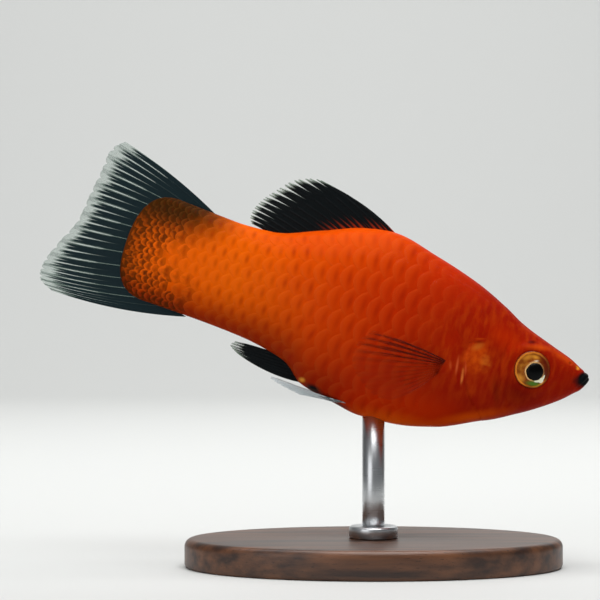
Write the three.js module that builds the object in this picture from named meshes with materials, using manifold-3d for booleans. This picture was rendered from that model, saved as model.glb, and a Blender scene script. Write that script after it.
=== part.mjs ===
// A red wag platyfish about 50 mm long, as a life-size museum model. It swims nose
// down over a flat oval base, held by one short rod under its centre of mass. Units are
// millimetres, +Z is up and the head points to +X. The origin is the middle of the
// base's underside, straight under the rod.
//
// The fish is made in its own frame and then tipped nose down by one group. In that
// frame x is minus the distance behind the tip of the jaw, y is to the fish's left and
// z is up from its long axis. Side views of it are drawn as [behind, height] pairs.
import * as THREE from 'three';
import { mergeVertices } from 'three/addons/utils/BufferGeometryUtils.js';
import Module from 'manifold-3d';

const wasm = await Module();
wasm.setup();
const { lerp, clamp, degToRad, smoothstep } = THREE.MathUtils;

// Driving dimensions of the fish
const noseDown = degToRad(16.2);
const snout = new THREE.Vector3(19.4, 0, 16.9); // where the tip of the jaw hangs
const fleshLength = 43.6; // jaw tip to the rear edge of the scales on the tail fin
const tailRound = { start: 39.9, height: -0.6, power: 2.6 }; // the flesh closes here, rounded
const noseRound = 0.75; // length over which the jaw's blunt tip rounds off
const tailSwing = { start: 24, perSquare: 0.003 }; // the tail curves to the fish's left
const gap = 0.3; // kept between neighbouring pieces

// The flesh as sizes at distances behind the jaw tip
const backLine = profile([
  [0, 0.36], [1, 0.78], [2, 1.3], [4, 2.0], [7, 3.12], [9, 4.2], [12, 5.55], [16, 6.8],
  [20.5, 7.83], [23, 7.5], [27, 6.1], [31, 4.83], [33.5, 4.74], [36, 4.92], [40, 5.3],
]);
const bellyLine = profile([
  [0, -0.7], [1, -1.7], [2, -2.62], [5, -4.66], [9, -6.7], [12, -8.02], [16, -8.85],
  [19, -8.96], [21.5, -8.5], [24.8, -7.7], [26.7, -6.2], [28.3, -5.68], [31, -5.15],
  [35, -4.78], [40, -4.5],
]);
const halfWidth = profile([
  [0, 1.1], [1, 1.5], [2.5, 2.05], [5, 2.7], [8, 3.2], [11.5, 3.65], [15, 3.9],
  [19, 3.95], [23, 3.6], [27, 2.9], [31, 2.2], [35, 1.6], [38, 1.1], [41, 0.66],
  [43.3, 0.44],
]);
const widestHeight = profile([
  [0, -0.1], [3, -0.6], [8, -1.6], [14, -1.8], [20, -1.2], [28, -0.2], [36, 0.1],
  [43.3, tailRound.height],
]);
// Exponents of the section's upper and lower half: 2 is an ellipse, more is boxier
const fullAbove = profile([[0, 2.2], [4, 2.7], [9, 2.5], [14, 2.1], [25, 2], [43.3, 2]]);
const fullBelow = profile([[0, 2.2], [6, 2.2], [14, 2.1], [22, 1.9], [43.3, 2]]);
const skinRings = 44;
const skinSides = 32;
const ringSpread = 0.115; // how much closer the rings stand at the ends

// The head
const eye = { behind: 5.44, height: -0.62, radius: 1.66, depth: 1.5, pupil: 0.8, proud: 0.5 };
const mouth = { front: [0.04, 0.16], corner: [0.95, -1.15], halfSpan: 1.2, lip: 0.24 };
const nostrils = [
  { behind: 1.45, height: 0.62, radius: 0.18 },
  { behind: 2.15, height: 0.88, radius: 0.2 },
];
const gillEdge = [
  [8.7, 7], [9.2, 3.4], [9.71, 1.49], [10.65, 0.84], [11.31, -0.1], [11.41, -1.06],
  [11.25, -2.24], [10.57, -3.63], [9.76, -4.8], [8.59, -5.8], [7.4, -7.5],
];
const gillCover = [
  [13, 0.9], [9.7, 1.35], [8.05, 0.85], [8.22, -0.59], [8.1, -1.96], [7.5, -3.19],
  [6.9, -4.1], [7.9, -5.1], [9.4, -5.5], [13, -5.2],
];
const coverThickness = 0.6;
const tailSeam = [[26.4, 12], [27.2, 3], [27.4, 0], [27.2, -3], [26.4, -12]];

// The fins. Their rays stand out of the membrane on both faces and fork on the way out.
const membrane = { half: 0.26, edge: 0.13, ridge: 0.15, notch: 0.03, forkFrom: 0.4 };
// Each has its bow, how far the first and the last ray arch, and its share, which pairs
// how far along the roots and how far along the tips a ray stands.
const caudal = {
  rays: 14,
  rows: 8,
  bow: [0.3, -0.45],
  share: [[0, 0], [0.45, 0.54], [0.66, 0.81], [1, 1]],
  roots: [
    [36.2, 4.75], [39.2, 4.2], [40.9, 2.2], [41.6, -0.6], [41, -2.6], [39, -3.9], [36.4, -4.75],
  ],
  tips: [
    [46.2, 8.95], [47.2, 8.0], [47.55, 5.7], [47.95, 3.4], [48.4, 0.75], [49.55, -1.6],
    [50.35, -3.75], [50.2, -5.15], [48.9, -5.9],
  ],
};
const dorsal = {
  rays: 13,
  rows: 6,
  bow: [0.45, 0.08],
  share: [[0, 0], [0.54, 0.67], [1, 1]],
  roots: [[19.7, 7.3], [23.5, 6.6], [26, 5.8], [28.5, 4.9], [30.9, 4.4]],
  tips: [
    [27, 10.15], [28.4, 10.45], [29.6, 10.2], [30.7, 9.65], [31.75, 8.55], [32.85, 7.2],
    [33.35, 6.0], [33.3, 5.3], [33.0, 4.9],
  ],
};
const anal = {
  rays: 8,
  rows: 6,
  bow: [-0.35, 0.1],
  share: [[0, 0], [1, 1]],
  roots: [[24.3, -7.5], [26.4, -5.7]],
  tips: [[30.5, -6.8], [31.3, -6.5], [31.9, -6.05], [31.5, -5.6]],
};
// Points of the paired fins are [behind, height, distance from the middle]
const pelvic = {
  rays: 6,
  rows: 5,
  bow: [-0.1, 0.05],
  share: [[0, 0], [1, 1]],
  roots: [[20.2, -8.1, 1.35], [20.9, -8.35, 0.45]],
  tips: [[26.6, -7.85, 1.7], [27.6, -7.85, 1.35], [26.4, -8.25, 1.0], [24.6, -8.6, 0.8]],
};
const pectoral = {
  rays: 12,
  rows: 6,
  bow: [0.25, -0.3],
  share: [[0, 0], [1, 1]],
  sunk: 0.1, // how far the roots start inside the skin
  flare: 2.3, // how far the tips stand off the root's distance from the middle
  flarePower: 2.5, // the fin leaves the body near its root
  roots: [[13.1, -1.95], [13.5, -3.3]],
  tips: [
    [20.1, -1.2], [20.8, -1.95], [21.25, -3.0], [21.2, -4.15], [20.6, -5.15],
    [19.5, -6.05], [18.1, -6.7], [16.9, -6.6],
  ],
};

// The stand
const base = { halfLength: 17, halfDepth: 11, height: 2.6, bevel: 0.7, sides: 48 };
const rod = { radius: 1, top: 20, sides: 16, sunk: 1.6 };
const collar = { outer: 2.2, height: 1.1, bevel: 0.3, sides: 24 };

// A smooth curve through [at, size] pairs that never overshoots them
function profile(pairs) {
  const slopes = pairs.slice(1).map((p, i) => (p[1] - pairs[i][1]) / (p[0] - pairs[i][0]));
  const tangents = pairs.map((_, i) => {
    const before = slopes[Math.max(i - 1, 0)];
    const after = slopes[Math.min(i, slopes.length - 1)];
    return before * after <= 0 ? 0 : (2 * before * after) / (before + after);
  });
  return (at) => {
    const x = clamp(at, pairs[0][0], pairs.at(-1)[0]);
    let i = 0;
    while (i < pairs.length - 2 && x > pairs[i + 1][0]) i += 1;
    const span = pairs[i + 1][0] - pairs[i][0];
    const t = (x - pairs[i][0]) / span;
    const rise = t * t * (3 - 2 * t);
    return (
      lerp(pairs[i][1], pairs[i + 1][1], rise) +
      span * t * (1 - t) * ((1 - t) * tangents[i] - t * tangents[i + 1])
    );
  };
}

// A closed geometry as a solid that can be joined and cut
function solidOf(geometry) {
  const bare = new THREE.BufferGeometry();
  bare.setAttribute('position', geometry.getAttribute('position'));
  bare.setIndex(geometry.index);
  const merged = mergeVertices(bare, 1e-4);
  const vertProperties = new Float32Array(merged.attributes.position.array);
  const triVerts = new Uint32Array(merged.index.array);
  return new wasm.Manifold(new wasm.Mesh({ numProp: 3, vertProperties, triVerts }));
}

// The largest closed surface of a solid as a geometry
function geometryOf(solid) {
  const [largest] = solid.decompose().sort((a, b) => b.volume() - a.volume());
  const { vertProperties, triVerts } = largest.getMesh();
  const geometry = new THREE.BufferGeometry();
  geometry.setAttribute('position', new THREE.BufferAttribute(vertProperties, 3));
  geometry.setIndex(new THREE.BufferAttribute(triVerts, 1));
  return geometry;
}

// A closed skin over rings of points, with a single point at either end
function skinOver(first, rings, last) {
  const around = rings[0].length;
  const end = 1 + rings.length * around;
  const at = (ring, k) => 1 + ring * around + (k % around);
  const index = [];
  for (let k = 0; k < around; k += 1) {
    index.push(0, at(0, k), at(0, k + 1));
    index.push(end, at(rings.length - 1, k + 1), at(rings.length - 1, k));
    for (let ring = 0; ring < rings.length - 1; ring += 1) {
      index.push(at(ring, k), at(ring + 1, k), at(ring, k + 1));
      index.push(at(ring, k + 1), at(ring + 1, k), at(ring + 1, k + 1));
    }
  }
  const places = [first, ...rings.flat(), last].flatMap((point) => point.toArray());
  const geometry = new THREE.BufferGeometry();
  geometry.setAttribute('position', new THREE.Float32BufferAttribute(places, 3));
  geometry.setIndex(index);
  return geometry;
}

const tailShift = (behind) => tailSwing.perSquare * Math.max(0, behind - tailSwing.start) ** 2;

// The flesh's section at a distance behind the jaw tip
function section(behind) {
  const nose = Math.min(behind / noseRound, 1);
  const blunt = Math.sqrt(1 - (1 - nose) ** 2);
  const past = Math.max(0, behind - tailRound.start) / (fleshLength - tailRound.start);
  const round = Math.max(0, 1 - past ** tailRound.power) ** (1 / tailRound.power);
  const height = (line) => blunt * lerp(tailRound.height, line(behind), round);
  return {
    top: height(backLine),
    bottom: height(bellyLine),
    middle: height(widestHeight),
    side: blunt * halfWidth(behind) * Math.min(1, 2.2 * round),
  };
}

// Point of the skin, by its angle from the back towards the fish's right
function skinPoint(behind, angle) {
  const { top, bottom, middle, side } = section(behind);
  const [up, out] = [Math.cos(angle), Math.sin(angle)];
  const power = 2 / (up > 0 ? fullAbove : fullBelow)(behind);
  const reach = (up > 0 ? top : bottom) - middle;
  return new THREE.Vector3(
    -behind,
    tailShift(behind) - side * Math.sign(out) * Math.abs(out) ** power,
    middle + reach * Math.abs(up) ** power,
  );
}

function skinNormal(behind, angle) {
  const step = 0.02;
  const at = clamp(behind, 2 * step, fleshLength - 2 * step);
  const along = skinPoint(at + step, angle).sub(skinPoint(at - step, angle));
  const about = skinPoint(at, angle + step).sub(skinPoint(at, angle - step));
  return along.cross(about).normalize();
}

// How far the skin lies from the middle at a height
function flankAt(behind, height) {
  const { top, bottom, middle, side } = section(behind);
  const upper = height > middle;
  const part = (height - middle) / ((upper ? top : bottom) - middle);
  const power = (upper ? fullAbove : fullBelow)(behind);
  return side * (1 - Math.min(part, 1) ** power) ** (1 / power);
}

// The whole flesh, grown along its normals
function flesh(grown) {
  const rings = [];
  for (let i = 1; i < skinRings; i += 1) {
    const t = i / skinRings;
    const behind = fleshLength * (t - ringSpread * Math.sin(2 * Math.PI * t));
    rings.push(
      Array.from({ length: skinSides }, (_, k) => {
        const angle = (2 * Math.PI * k) / skinSides;
        return skinPoint(behind, angle).addScaledVector(skinNormal(behind, angle), grown);
      }),
    );
  }
  const end = (behind, way) => {
    const { middle } = section(behind);
    return new THREE.Vector3(-behind + way * grown, tailShift(behind), middle);
  };
  return skinOver(end(0, 1), rings, end(fleshLength, -1));
}

const smooth = (points) =>
  new THREE.CatmullRomCurve3(points.map(([d, z, y = 0]) => new THREE.Vector3(-d, y, z)));

const halfSpace = 8; // farther from the middle than any flesh

// A side-view outline pushed right through the fish, between two distances from its middle
function throughFish(outline, from = -halfSpace, to = halfSpace) {
  const shape = new THREE.Shape(outline.map(([d, z]) => new THREE.Vector2(-d, z)));
  const geometry = new THREE.ExtrudeGeometry(shape, { depth: to - from, bevelEnabled: false });
  geometry.translate(0, 0, -to).rotateX(Math.PI / 2);
  return solidOf(geometry);
}

// A cut of even width along a side-view line
function cutAlong(line, width = gap, steps = 3 * line.length) {
  const curve = smooth(line);
  const [left, right] = [[], []];
  for (let i = 0; i <= steps; i += 1) {
    const { x, z } = curve.getPoint(i / steps);
    const run = curve.getTangent(i / steps);
    const aside = new THREE.Vector2(-run.z, run.x).normalize().multiplyScalar(width / 2);
    left.push([-(x + aside.x), z + aside.y]);
    right.unshift([-(x - aside.x), z - aside.y]);
  }
  return throughFish([...left, ...right]);
}

// Turns a shape made along +Z to stand out of the skin
function standOn(geometry, { behind, height }, side) {
  const from = new THREE.Vector3(-behind, side * flankAt(behind, height), height);
  const step = 0.05;
  const slope = (flankAt(behind + step, height) - flankAt(behind - step, height)) / (2 * step);
  const lean = (flankAt(behind, height + step) - flankAt(behind, height - step)) / (2 * step);
  const out = new THREE.Vector3(slope, side, -lean).normalize();
  const turn = new THREE.Quaternion().setFromUnitVectors(new THREE.Vector3(0, 0, 1), out);
  return geometry.applyQuaternion(turn).translate(from.x, from.y, from.z);
}

function turned(pairs, sides) {
  const points = pairs.map(([r, h]) => new THREE.Vector2(r, h));
  return new THREE.LatheGeometry(points, sides).rotateX(Math.PI / 2);
}

// The eyeball: round behind, with a flat iris and a clear dome over the pupil
function eyeball(side) {
  const { radius: r, depth, pupil, proud } = eye;
  const outline = [
    [0, -depth], [0.55 * r, -0.9 * depth], [0.88 * r, -0.58 * depth], [r, -0.15 * depth],
    [0.98 * r, 0.05], [0.86 * r, 0.45 * proud], [pupil + 0.1, 0.72 * proud],
    [0.6 * pupil, 0.95 * proud], [0, proud],
  ];
  return standOn(turned(outline, 22), eye, side);
}

function eyeSocket(side) {
  const [r, depth] = [eye.radius + gap, eye.depth + gap];
  const outline = [
    [0, -depth], [0.55 * r, -0.92 * depth], [0.9 * r, -0.6 * depth], [r, -0.15 * depth],
    [r, 1.5], [0, 1.5],
  ];
  return solidOf(standOn(turned(outline, 22), eye, side));
}

function nostril(pit, side) {
  const outline = [[0, -0.4], [pit.radius, -0.3], [pit.radius, 1], [0, 1]];
  return solidOf(standOn(turned(outline, 8), pit, side));
}

// Where the mouth's line crosses the skin, from the left corner (-1) to the right (1)
function mouthPoint(along) {
  const wanted = Math.abs(mouth.halfSpan * Math.sin((along * Math.PI) / 2));
  const lineAt = (t) => mouth.front.map((from, i) => lerp(from, mouth.corner[i], t));
  let [low, high] = [0, 1];
  for (let i = 0; i < 30; i += 1) {
    const t = (low + high) / 2;
    if (flankAt(...lineAt(t)) < wanted) low = t;
    else high = t;
  }
  const [behind, height] = lineAt(low);
  return new THREE.Vector3(-behind, -Math.sign(along) * wanted, height);
}

function lip(shift) {
  const steps = 10;
  const points = [];
  for (let i = 0; i <= steps; i += 1) {
    points.push(mouthPoint((2 * i) / steps - 1).add(shift));
  }
  const ring = new THREE.Shape().absarc(0, 0, mouth.lip, 0, 2 * Math.PI);
  const extrudePath = new THREE.CatmullRomCurve3(points);
  const tube = new THREE.ExtrudeGeometry(ring, { extrudePath, steps: 14, curveSegments: 4 });
  return solidOf(tube);
}

// Where a fin's middle surface runs: u goes along the roots and v out along the rays
function finSurface({ bow, share, roots, tips, bend = () => 0 }) {
  const [rootCurve, tipCurve, along] = [smooth(roots), smooth(tips), profile(share)];
  const point = (u, v) => {
    const root = rootCurve.getPointAt(clamp(u, 0, 1));
    const tip = tipCurve.getPointAt(clamp(along(u), 0, 1));
    const aside = new THREE.Vector3(tip.z - root.z, 0, root.x - tip.x).normalize();
    const arch = lerp(bow[0], bow[1], u) * 4 * v * (1 - v);
    const place = root.lerp(tip, v).addScaledVector(aside, arch);
    place.y += bend(v) + tailShift(-place.x);
    return place;
  };
  const normal = (u, v) => {
    const step = 0.01;
    const [u0, v0] = [clamp(u, step, 1 - step), clamp(v, step, 1 - step)];
    const across = point(u0 + step, v0).sub(point(u0 - step, v0));
    const outward = point(u0, v0 + step).sub(point(u0, v0 - step));
    return across.cross(outward).normalize();
  };
  return { point, normal };
}

// Half a fin's thickness. Along each ray go four columns: the valley beside it, its two
// shoulders and its crest.
function finHalf(column, v) {
  const forked = smoothstep(v, membrane.forkFrom, 0.8);
  const crest = [0, lerp(0.75, 1, forked), lerp(1, 0.35, forked), lerp(0.75, 1, forked)];
  const skin = lerp(membrane.half, membrane.edge, smoothstep(v, 0.75, 1));
  return skin + membrane.ridge * crest[column % 4] * (1 - 0.6 * v);
}

// One face of a fin, a grid of points row by row from the roots out
function finFace({ rays, rows }, { point, normal }, way) {
  const columns = 4 * rays;
  const places = [];
  for (let row = 0; row <= rows; row += 1) {
    for (let column = 0; column <= columns; column += 1) {
      const inValley = column % 4 === 0 && column > 0 && column < columns;
      const v = (row / rows) * (inValley ? 1 - membrane.notch * (row / rows) ** 4 : 1);
      const u = column / columns;
      places.push(point(u, v).addScaledVector(normal(u, v), way * finHalf(column, v)));
    }
  }
  return places;
}

// A fin between the curve of its roots and the curve of its tips, as a solid
function fin(shape) {
  const { rays, rows } = shape;
  const surface = finSurface(shape);
  const columns = 4 * rays;
  const wide = columns + 1;
  const back = wide * (rows + 1);
  const index = [];
  const quad = (a, b, c, d) => index.push(a, b, c, c, b, d);
  for (let row = 0; row < rows; row += 1) {
    for (let column = 0; column < columns; column += 1) {
      const a = row * wide + column;
      quad(a, a + 1, a + wide, a + wide + 1);
      quad(back + a, back + a + wide, back + a + 1, back + a + wide + 1);
    }
    const [first, last] = [row * wide, row * wide + columns];
    quad(first, first + wide, first + back, first + back + wide);
    quad(last + wide, last, last + wide + back, last + back);
  }
  for (let column = 0; column < columns; column += 1) {
    const end = rows * wide + column;
    quad(column + 1, column, column + 1 + back, column + back);
    quad(end, end + 1, end + back, end + 1 + back);
  }
  const places = [1, -1].flatMap((way) => finFace(shape, surface, way));
  const corners = places.flatMap((place) => place.toArray());
  const geometry = new THREE.BufferGeometry();
  geometry.setAttribute('position', new THREE.Float32BufferAttribute(corners, 3));
  geometry.setIndex(index);
  return solidOf(geometry);
}

// The paired fins are drawn on the left side and mirrored by the sign of their distance
function onSide(points, side, fromMiddle) {
  return points.map(([d, z, y = fromMiddle(d, z)]) => [d, z, side * y]);
}

function pelvicFin(side) {
  const on = (points) => onSide(points, side);
  return fin({ ...pelvic, roots: on(pelvic.roots), tips: on(pelvic.tips) });
}

function pectoralFin(side) {
  const rootDistance = flankAt(...pectoral.roots[0]) - pectoral.sunk;
  const on = (points) => onSide(points, side, () => rootDistance);
  const bend = (v) => side * pectoral.flare * (1 - (1 - v) ** pectoral.flarePower);
  return fin({ ...pectoral, roots: on(pectoral.roots), tips: on(pectoral.tips), bend });
}

// The fish
const body = solidOf(flesh(0));
const clearOfBody = solidOf(flesh(gap));
const underCover = solidOf(flesh(-coverThickness));
const coverFloor = solidOf(flesh(-coverThickness - gap));
const sides = { right: -1, left: 1 };

const neckCut = cutAlong(gillEdge);
const tailCut = cutAlong(tailSeam);
const ahead = (line) => throughFish([[-5, line[0][1]], ...line, [-5, line.at(-1)[1]]]);
const inFront = ahead(gillEdge);
const headBlock = body.subtract(neckCut).intersect(inFront);
const trunk = body.subtract(neckCut).subtract(inFront).subtract(tailCut).intersect(ahead(tailSeam));
const tailStalk = body.subtract(tailCut).subtract(ahead(tailSeam));

const coverPlan = throughFish(smooth(gillCover).getPoints(30).map(({ x, z }) => [-x, z]));
const coverRim = cutAlong([...gillCover, gillCover[0]], 2 * gap, 40);
const covers = headBlock.intersect(coverPlan).subtract(coverRim).subtract(underCover);
let head = headBlock.subtract(coverPlan.subtract(coverFloor));
const lips = [lip(new THREE.Vector3(-0.12, 0, 0.22)), lip(new THREE.Vector3(-0.05, 0, -0.26))];
lips.forEach((roll) => {
  head = head.add(roll);
});
head = head.subtract(cutAlong([[-0.6, 0.5], mouth.front, mouth.corner], gap, 6));
Object.values(sides).forEach((side) => {
  head = head.subtract(eyeSocket(side));
  nostrils.forEach((pit) => {
    head = head.subtract(nostril(pit, side));
  });
});

const fish = new THREE.Group();
fish.position.copy(snout);
fish.rotation.y = noseDown;
fish.updateMatrix();

const red = { color: 0xb5260a, roughness: 0.35, metalness: 0 };
const orange = { color: 0xe25a08, roughness: 0.38, metalness: 0 };
const black = { color: 0x12181a, roughness: 0.45, metalness: 0 };
const clear = { color: 0x9fb0a8, roughness: 0.3, metalness: 0 };
const redClear = { color: 0x8a1c08, roughness: 0.3, metalness: 0 };
const gold = { color: 0xc58a3a, roughness: 0.15, metalness: 0 };
const walnut = { color: 0x4a2c1a, roughness: 0.4, metalness: 0 };
const steel = { color: 0xb9bcbe, roughness: 0.3, metalness: 1 };

function addMesh(group, name, geometry, finish) {
  const mesh = new THREE.Mesh(geometry, new THREE.MeshStandardMaterial(finish));
  mesh.name = name;
  group.add(mesh);
}

addMesh(fish, 'head', geometryOf(head), red);
addMesh(fish, 'trunk', geometryOf(trunk), red);
addMesh(fish, 'tail_stalk', geometryOf(tailStalk), orange);
addMesh(fish, 'caudal_fin', geometryOf(fin(caudal).subtract(clearOfBody)), black);
addMesh(fish, 'dorsal_fin', geometryOf(fin(dorsal).subtract(clearOfBody)), black);
addMesh(fish, 'anal_fin', geometryOf(fin(anal).subtract(clearOfBody)), black);
const wholeView = [[-5, 20], [60, 20], [60, -20], [-5, -20]];
const sideSpace = {
  right: throughFish(wholeView, -halfSpace, 0),
  left: throughFish(wholeView, 0, halfSpace),
};
Object.entries(sides).forEach(([name, side]) => {
  addMesh(fish, `gill_cover_${name}`, geometryOf(covers.intersect(sideSpace[name])), red);
  addMesh(fish, `eye_${name}`, eyeball(side), gold);
  const pectoralSolid = pectoralFin(side).subtract(clearOfBody);
  addMesh(fish, `pectoral_fin_${name}`, geometryOf(pectoralSolid), redClear);
  const pelvicSolid = pelvicFin(side).subtract(clearOfBody);
  addMesh(fish, `pelvic_fin_${name}`, geometryOf(pelvicSolid), clear);
});

// The stand
function standBase() {
  const { halfLength: r, height: h, bevel, sides: around } = base;
  const hole = rod.radius + gap;
  const outline = [
    [0, 0], [r, 0], [r, h - bevel], [r - 0.3 * bevel, h - 0.3 * bevel], [r - bevel, h], [0, h],
  ];
  const plate = solidOf(turned(outline, around).scale(1, base.halfDepth / r, 1));
  const floor = h - rod.sunk - gap;
  const bore = turned([[0, floor], [hole, floor], [hole, h + 1], [0, h + 1]], rod.sides);
  return plate.subtract(solidOf(bore));
}

function standRod() {
  const low = base.height - rod.sunk;
  const outline = [[0, low], [rod.radius, low], [rod.radius, rod.top], [0, rod.top]];
  const shaft = solidOf(turned(outline, rod.sides));
  return shaft.subtract(solidOf(flesh(gap).applyMatrix4(fish.matrix)));
}

function standCollar() {
  const [inner, low] = [rod.radius + gap, base.height + gap];
  const { outer, height, bevel } = collar;
  const outline = [
    [inner, low], [outer, low], [outer, low + height - bevel], [outer - bevel, low + height],
    [inner, low + height], [inner, low],
  ];
  return turned(outline, collar.sides);
}

const model = new THREE.Group();
model.add(fish);
addMesh(model, 'stand_base', geometryOf(standBase()), walnut);
addMesh(model, 'stand_rod', geometryOf(standRod()), steel);
addMesh(model, 'stand_collar', standCollar(), steel);

export default model;
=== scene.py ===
# Red wag platyfish, 50 mm long, as a museum model on an oval walnut base.
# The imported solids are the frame: metres, head to +X, the fish's left to +Y, +Z up.
# The fish is drawn in its own frame, in millimetres: "behind" is the distance behind the
# tip of the jaw, "height" is measured from the fish's long axis, and y is to its left.
import math

import bpy
import numpy as np
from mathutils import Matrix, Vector


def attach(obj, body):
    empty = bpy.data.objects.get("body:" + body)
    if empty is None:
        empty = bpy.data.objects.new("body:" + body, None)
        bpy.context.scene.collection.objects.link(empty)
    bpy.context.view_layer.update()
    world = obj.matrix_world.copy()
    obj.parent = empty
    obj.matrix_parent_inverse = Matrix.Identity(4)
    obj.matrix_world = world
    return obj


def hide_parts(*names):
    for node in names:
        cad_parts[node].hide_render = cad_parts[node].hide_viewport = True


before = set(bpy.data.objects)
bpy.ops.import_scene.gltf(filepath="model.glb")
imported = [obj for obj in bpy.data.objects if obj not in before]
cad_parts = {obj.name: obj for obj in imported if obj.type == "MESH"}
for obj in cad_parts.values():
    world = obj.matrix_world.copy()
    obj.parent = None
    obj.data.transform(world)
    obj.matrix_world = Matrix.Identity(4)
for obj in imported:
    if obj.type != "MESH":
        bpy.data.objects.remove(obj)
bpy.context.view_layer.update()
millimetre = 0.001
sides = {"right": -1, "left": 1}

print("fish frame and body lines")
body = {
    "noseDown": math.radians(16.2),
    "snout": (19.4, 0.0, 16.9),  # where the tip of the jaw hangs
    "length": 43.6,  # to the rear edge of the scales on the tail fin
    "tailRoundFrom": 39.9,
    "tailRoundHeight": -0.6,
    "tailRoundPower": 2.6,
    "tailRoundSides": 2.2,  # how much later the sides round off than the outline
    "noseRound": 0.75,
    "swingFrom": 24.0,  # the tail curves to the left from here
    "swingPerSquare": 0.003,
    "back": [
        (0, 0.36), (1, 0.78), (2, 1.3), (4, 2.0), (7, 3.12), (9, 4.2), (12, 5.55), (16, 6.8),
        (20.5, 7.83), (23, 7.5), (27, 6.1), (31, 4.83), (33.5, 4.74), (36, 4.92), (40, 5.3),
    ],
    "belly": [
        (0, -0.7), (1, -1.7), (2, -2.62), (5, -4.66), (9, -6.7), (12, -8.02), (16, -8.85),
        (19, -8.96), (21.5, -8.5), (24.8, -7.7), (26.7, -6.2), (28.3, -5.68), (31, -5.15),
        (35, -4.78), (40, -4.5),
    ],
    "halfWidth": [
        (0, 1.1), (1, 1.5), (2.5, 2.05), (5, 2.7), (8, 3.2), (11.5, 3.65), (15, 3.9),
        (19, 3.95), (23, 3.6), (27, 2.9), (31, 2.2), (35, 1.6), (38, 1.1), (41, 0.66),
        (43.3, 0.44),
    ],
    "widestHeight": [
        (0, -0.1), (3, -0.6), (8, -1.6), (14, -1.8), (20, -1.2), (28, -0.2), (36, 0.1),
        (43.3, -0.6),
    ],
    "fullAbove": [(0, 2.2), (4, 2.7), (9, 2.5), (14, 2.1), (25, 2), (43.3, 2)],
    "fullBelow": [(0, 2.2), (6, 2.2), (14, 2.1), (22, 1.9), (43.3, 2)],
}


def profile(pairs):
    # A smooth curve through (at, size) pairs that never overshoots them.
    at, size = np.array(sorted(pairs), float).T
    slopes = np.diff(size) / np.diff(at)
    before = np.concatenate([slopes[:1], slopes])
    after = np.concatenate([slopes, slopes[-1:]])
    both = before + after
    level = before * after <= 0
    tangents = np.where(level, 0, 2 * before * after / np.where(level, 1, both))

    def curve(where):
        x = np.clip(where, at[0], at[-1])
        i = np.clip(np.searchsorted(at, x) - 1, 0, len(at) - 2)
        span = at[i + 1] - at[i]
        t = (x - at[i]) / span
        rise = t * t * (3 - 2 * t)
        lean = (1 - t) * tangents[i] - t * tangents[i + 1]
        return size[i] + (size[i + 1] - size[i]) * rise + span * t * (1 - t) * lean

    return curve


backLine, bellyLine, halfWidth, widestHeight, fullAbove, fullBelow = (
    profile(body[key])
    for key in ("back", "belly", "halfWidth", "widestHeight", "fullAbove", "fullBelow")
)


def ease(start, end, value):
    # 0 before start, 1 past end, smooth between, whichever way they run.
    t = np.clip((value - start) / (end - start), 0, 1)
    return t * t * (3 - 2 * t)


def tailShift(behind):
    return body["swingPerSquare"] * np.maximum(0, behind - body["swingFrom"]) ** 2


def section(behind):
    # Heights of the back, the belly and the widest place, and half the width there.
    nose = np.minimum(behind / body["noseRound"], 1)
    blunt = np.sqrt(np.maximum(0, 1 - (1 - nose) ** 2))
    past = np.maximum(0, behind - body["tailRoundFrom"]) / (body["length"] - body["tailRoundFrom"])
    power = body["tailRoundPower"]
    rounding = np.maximum(0, 1 - past**power) ** (1 / power)
    low = body["tailRoundHeight"]
    heights = [
        blunt * (low + (line(behind) - low) * rounding)
        for line in (backLine, bellyLine, widestHeight)
    ]
    return *heights, blunt * halfWidth(behind) * np.minimum(1, body["tailRoundSides"] * rounding)


def skinPoint(behind, angle):
    # By the angle from the back, positive towards the fish's right.
    top, bottom, middle, side = section(behind)
    up, out = np.cos(angle), np.sin(angle)
    power = 2 / np.where(up > 0, fullAbove(behind), fullBelow(behind))
    reach = np.where(up > 0, top, bottom) - middle
    y = tailShift(behind) - side * np.sign(out) * np.abs(out) ** power
    return np.stack([-behind, y, middle + reach * np.abs(up) ** power], -1)


def unit(vectors):
    return vectors / np.maximum(np.linalg.norm(vectors, axis=-1, keepdims=True), 1e-12)


def skinNormal(behind, angle):
    step = 0.02
    at = np.clip(behind, 2 * step, body["length"] - 2 * step)
    along = skinPoint(at + step, angle) - skinPoint(at - step, angle)
    about = skinPoint(at, angle + step) - skinPoint(at, angle - step)
    return unit(np.cross(along, about))


def flankAt(behind, height):
    # How far the skin lies from the middle at a height.
    top, bottom, middle, side = section(behind)
    upper = height > middle
    part = (height - middle) / (np.where(upper, top, bottom) - middle)
    power = np.where(upper, fullAbove(behind), fullBelow(behind))
    return side * (1 - np.minimum(part, 1) ** power) ** (1 / power)


cosDown, sinDown = math.cos(body["noseDown"]), math.sin(body["noseDown"])
tipDown = np.array([[cosDown, 0, sinDown], [0, 1, 0], [-sinDown, 0, cosDown]])


def toFrame(points):
    # From the fish's own millimetres to metres in the frame.
    return (np.asarray(points) @ tipDown.T + np.array(body["snout"])) * millimetre


print("helpers for meshes, nodes and colours")
usual = {  # how a kind of node is set here, unless a call says otherwise
    "ShaderNodeMapRange": {"interpolation_type": "SMOOTHSTEP"},
    "ShaderNodeMix": {"data_type": "RGBA"},
}


def linear(hexColour):
    # sRGB hex to linear RGBA.
    parts = [int(hexColour[i : i + 2], 16) / 255 for i in (1, 3, 5)]
    return [c / 12.92 if c <= 0.04045 else ((c + 0.055) / 1.055) ** 2.4 for c in parts] + [1.0]


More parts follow.
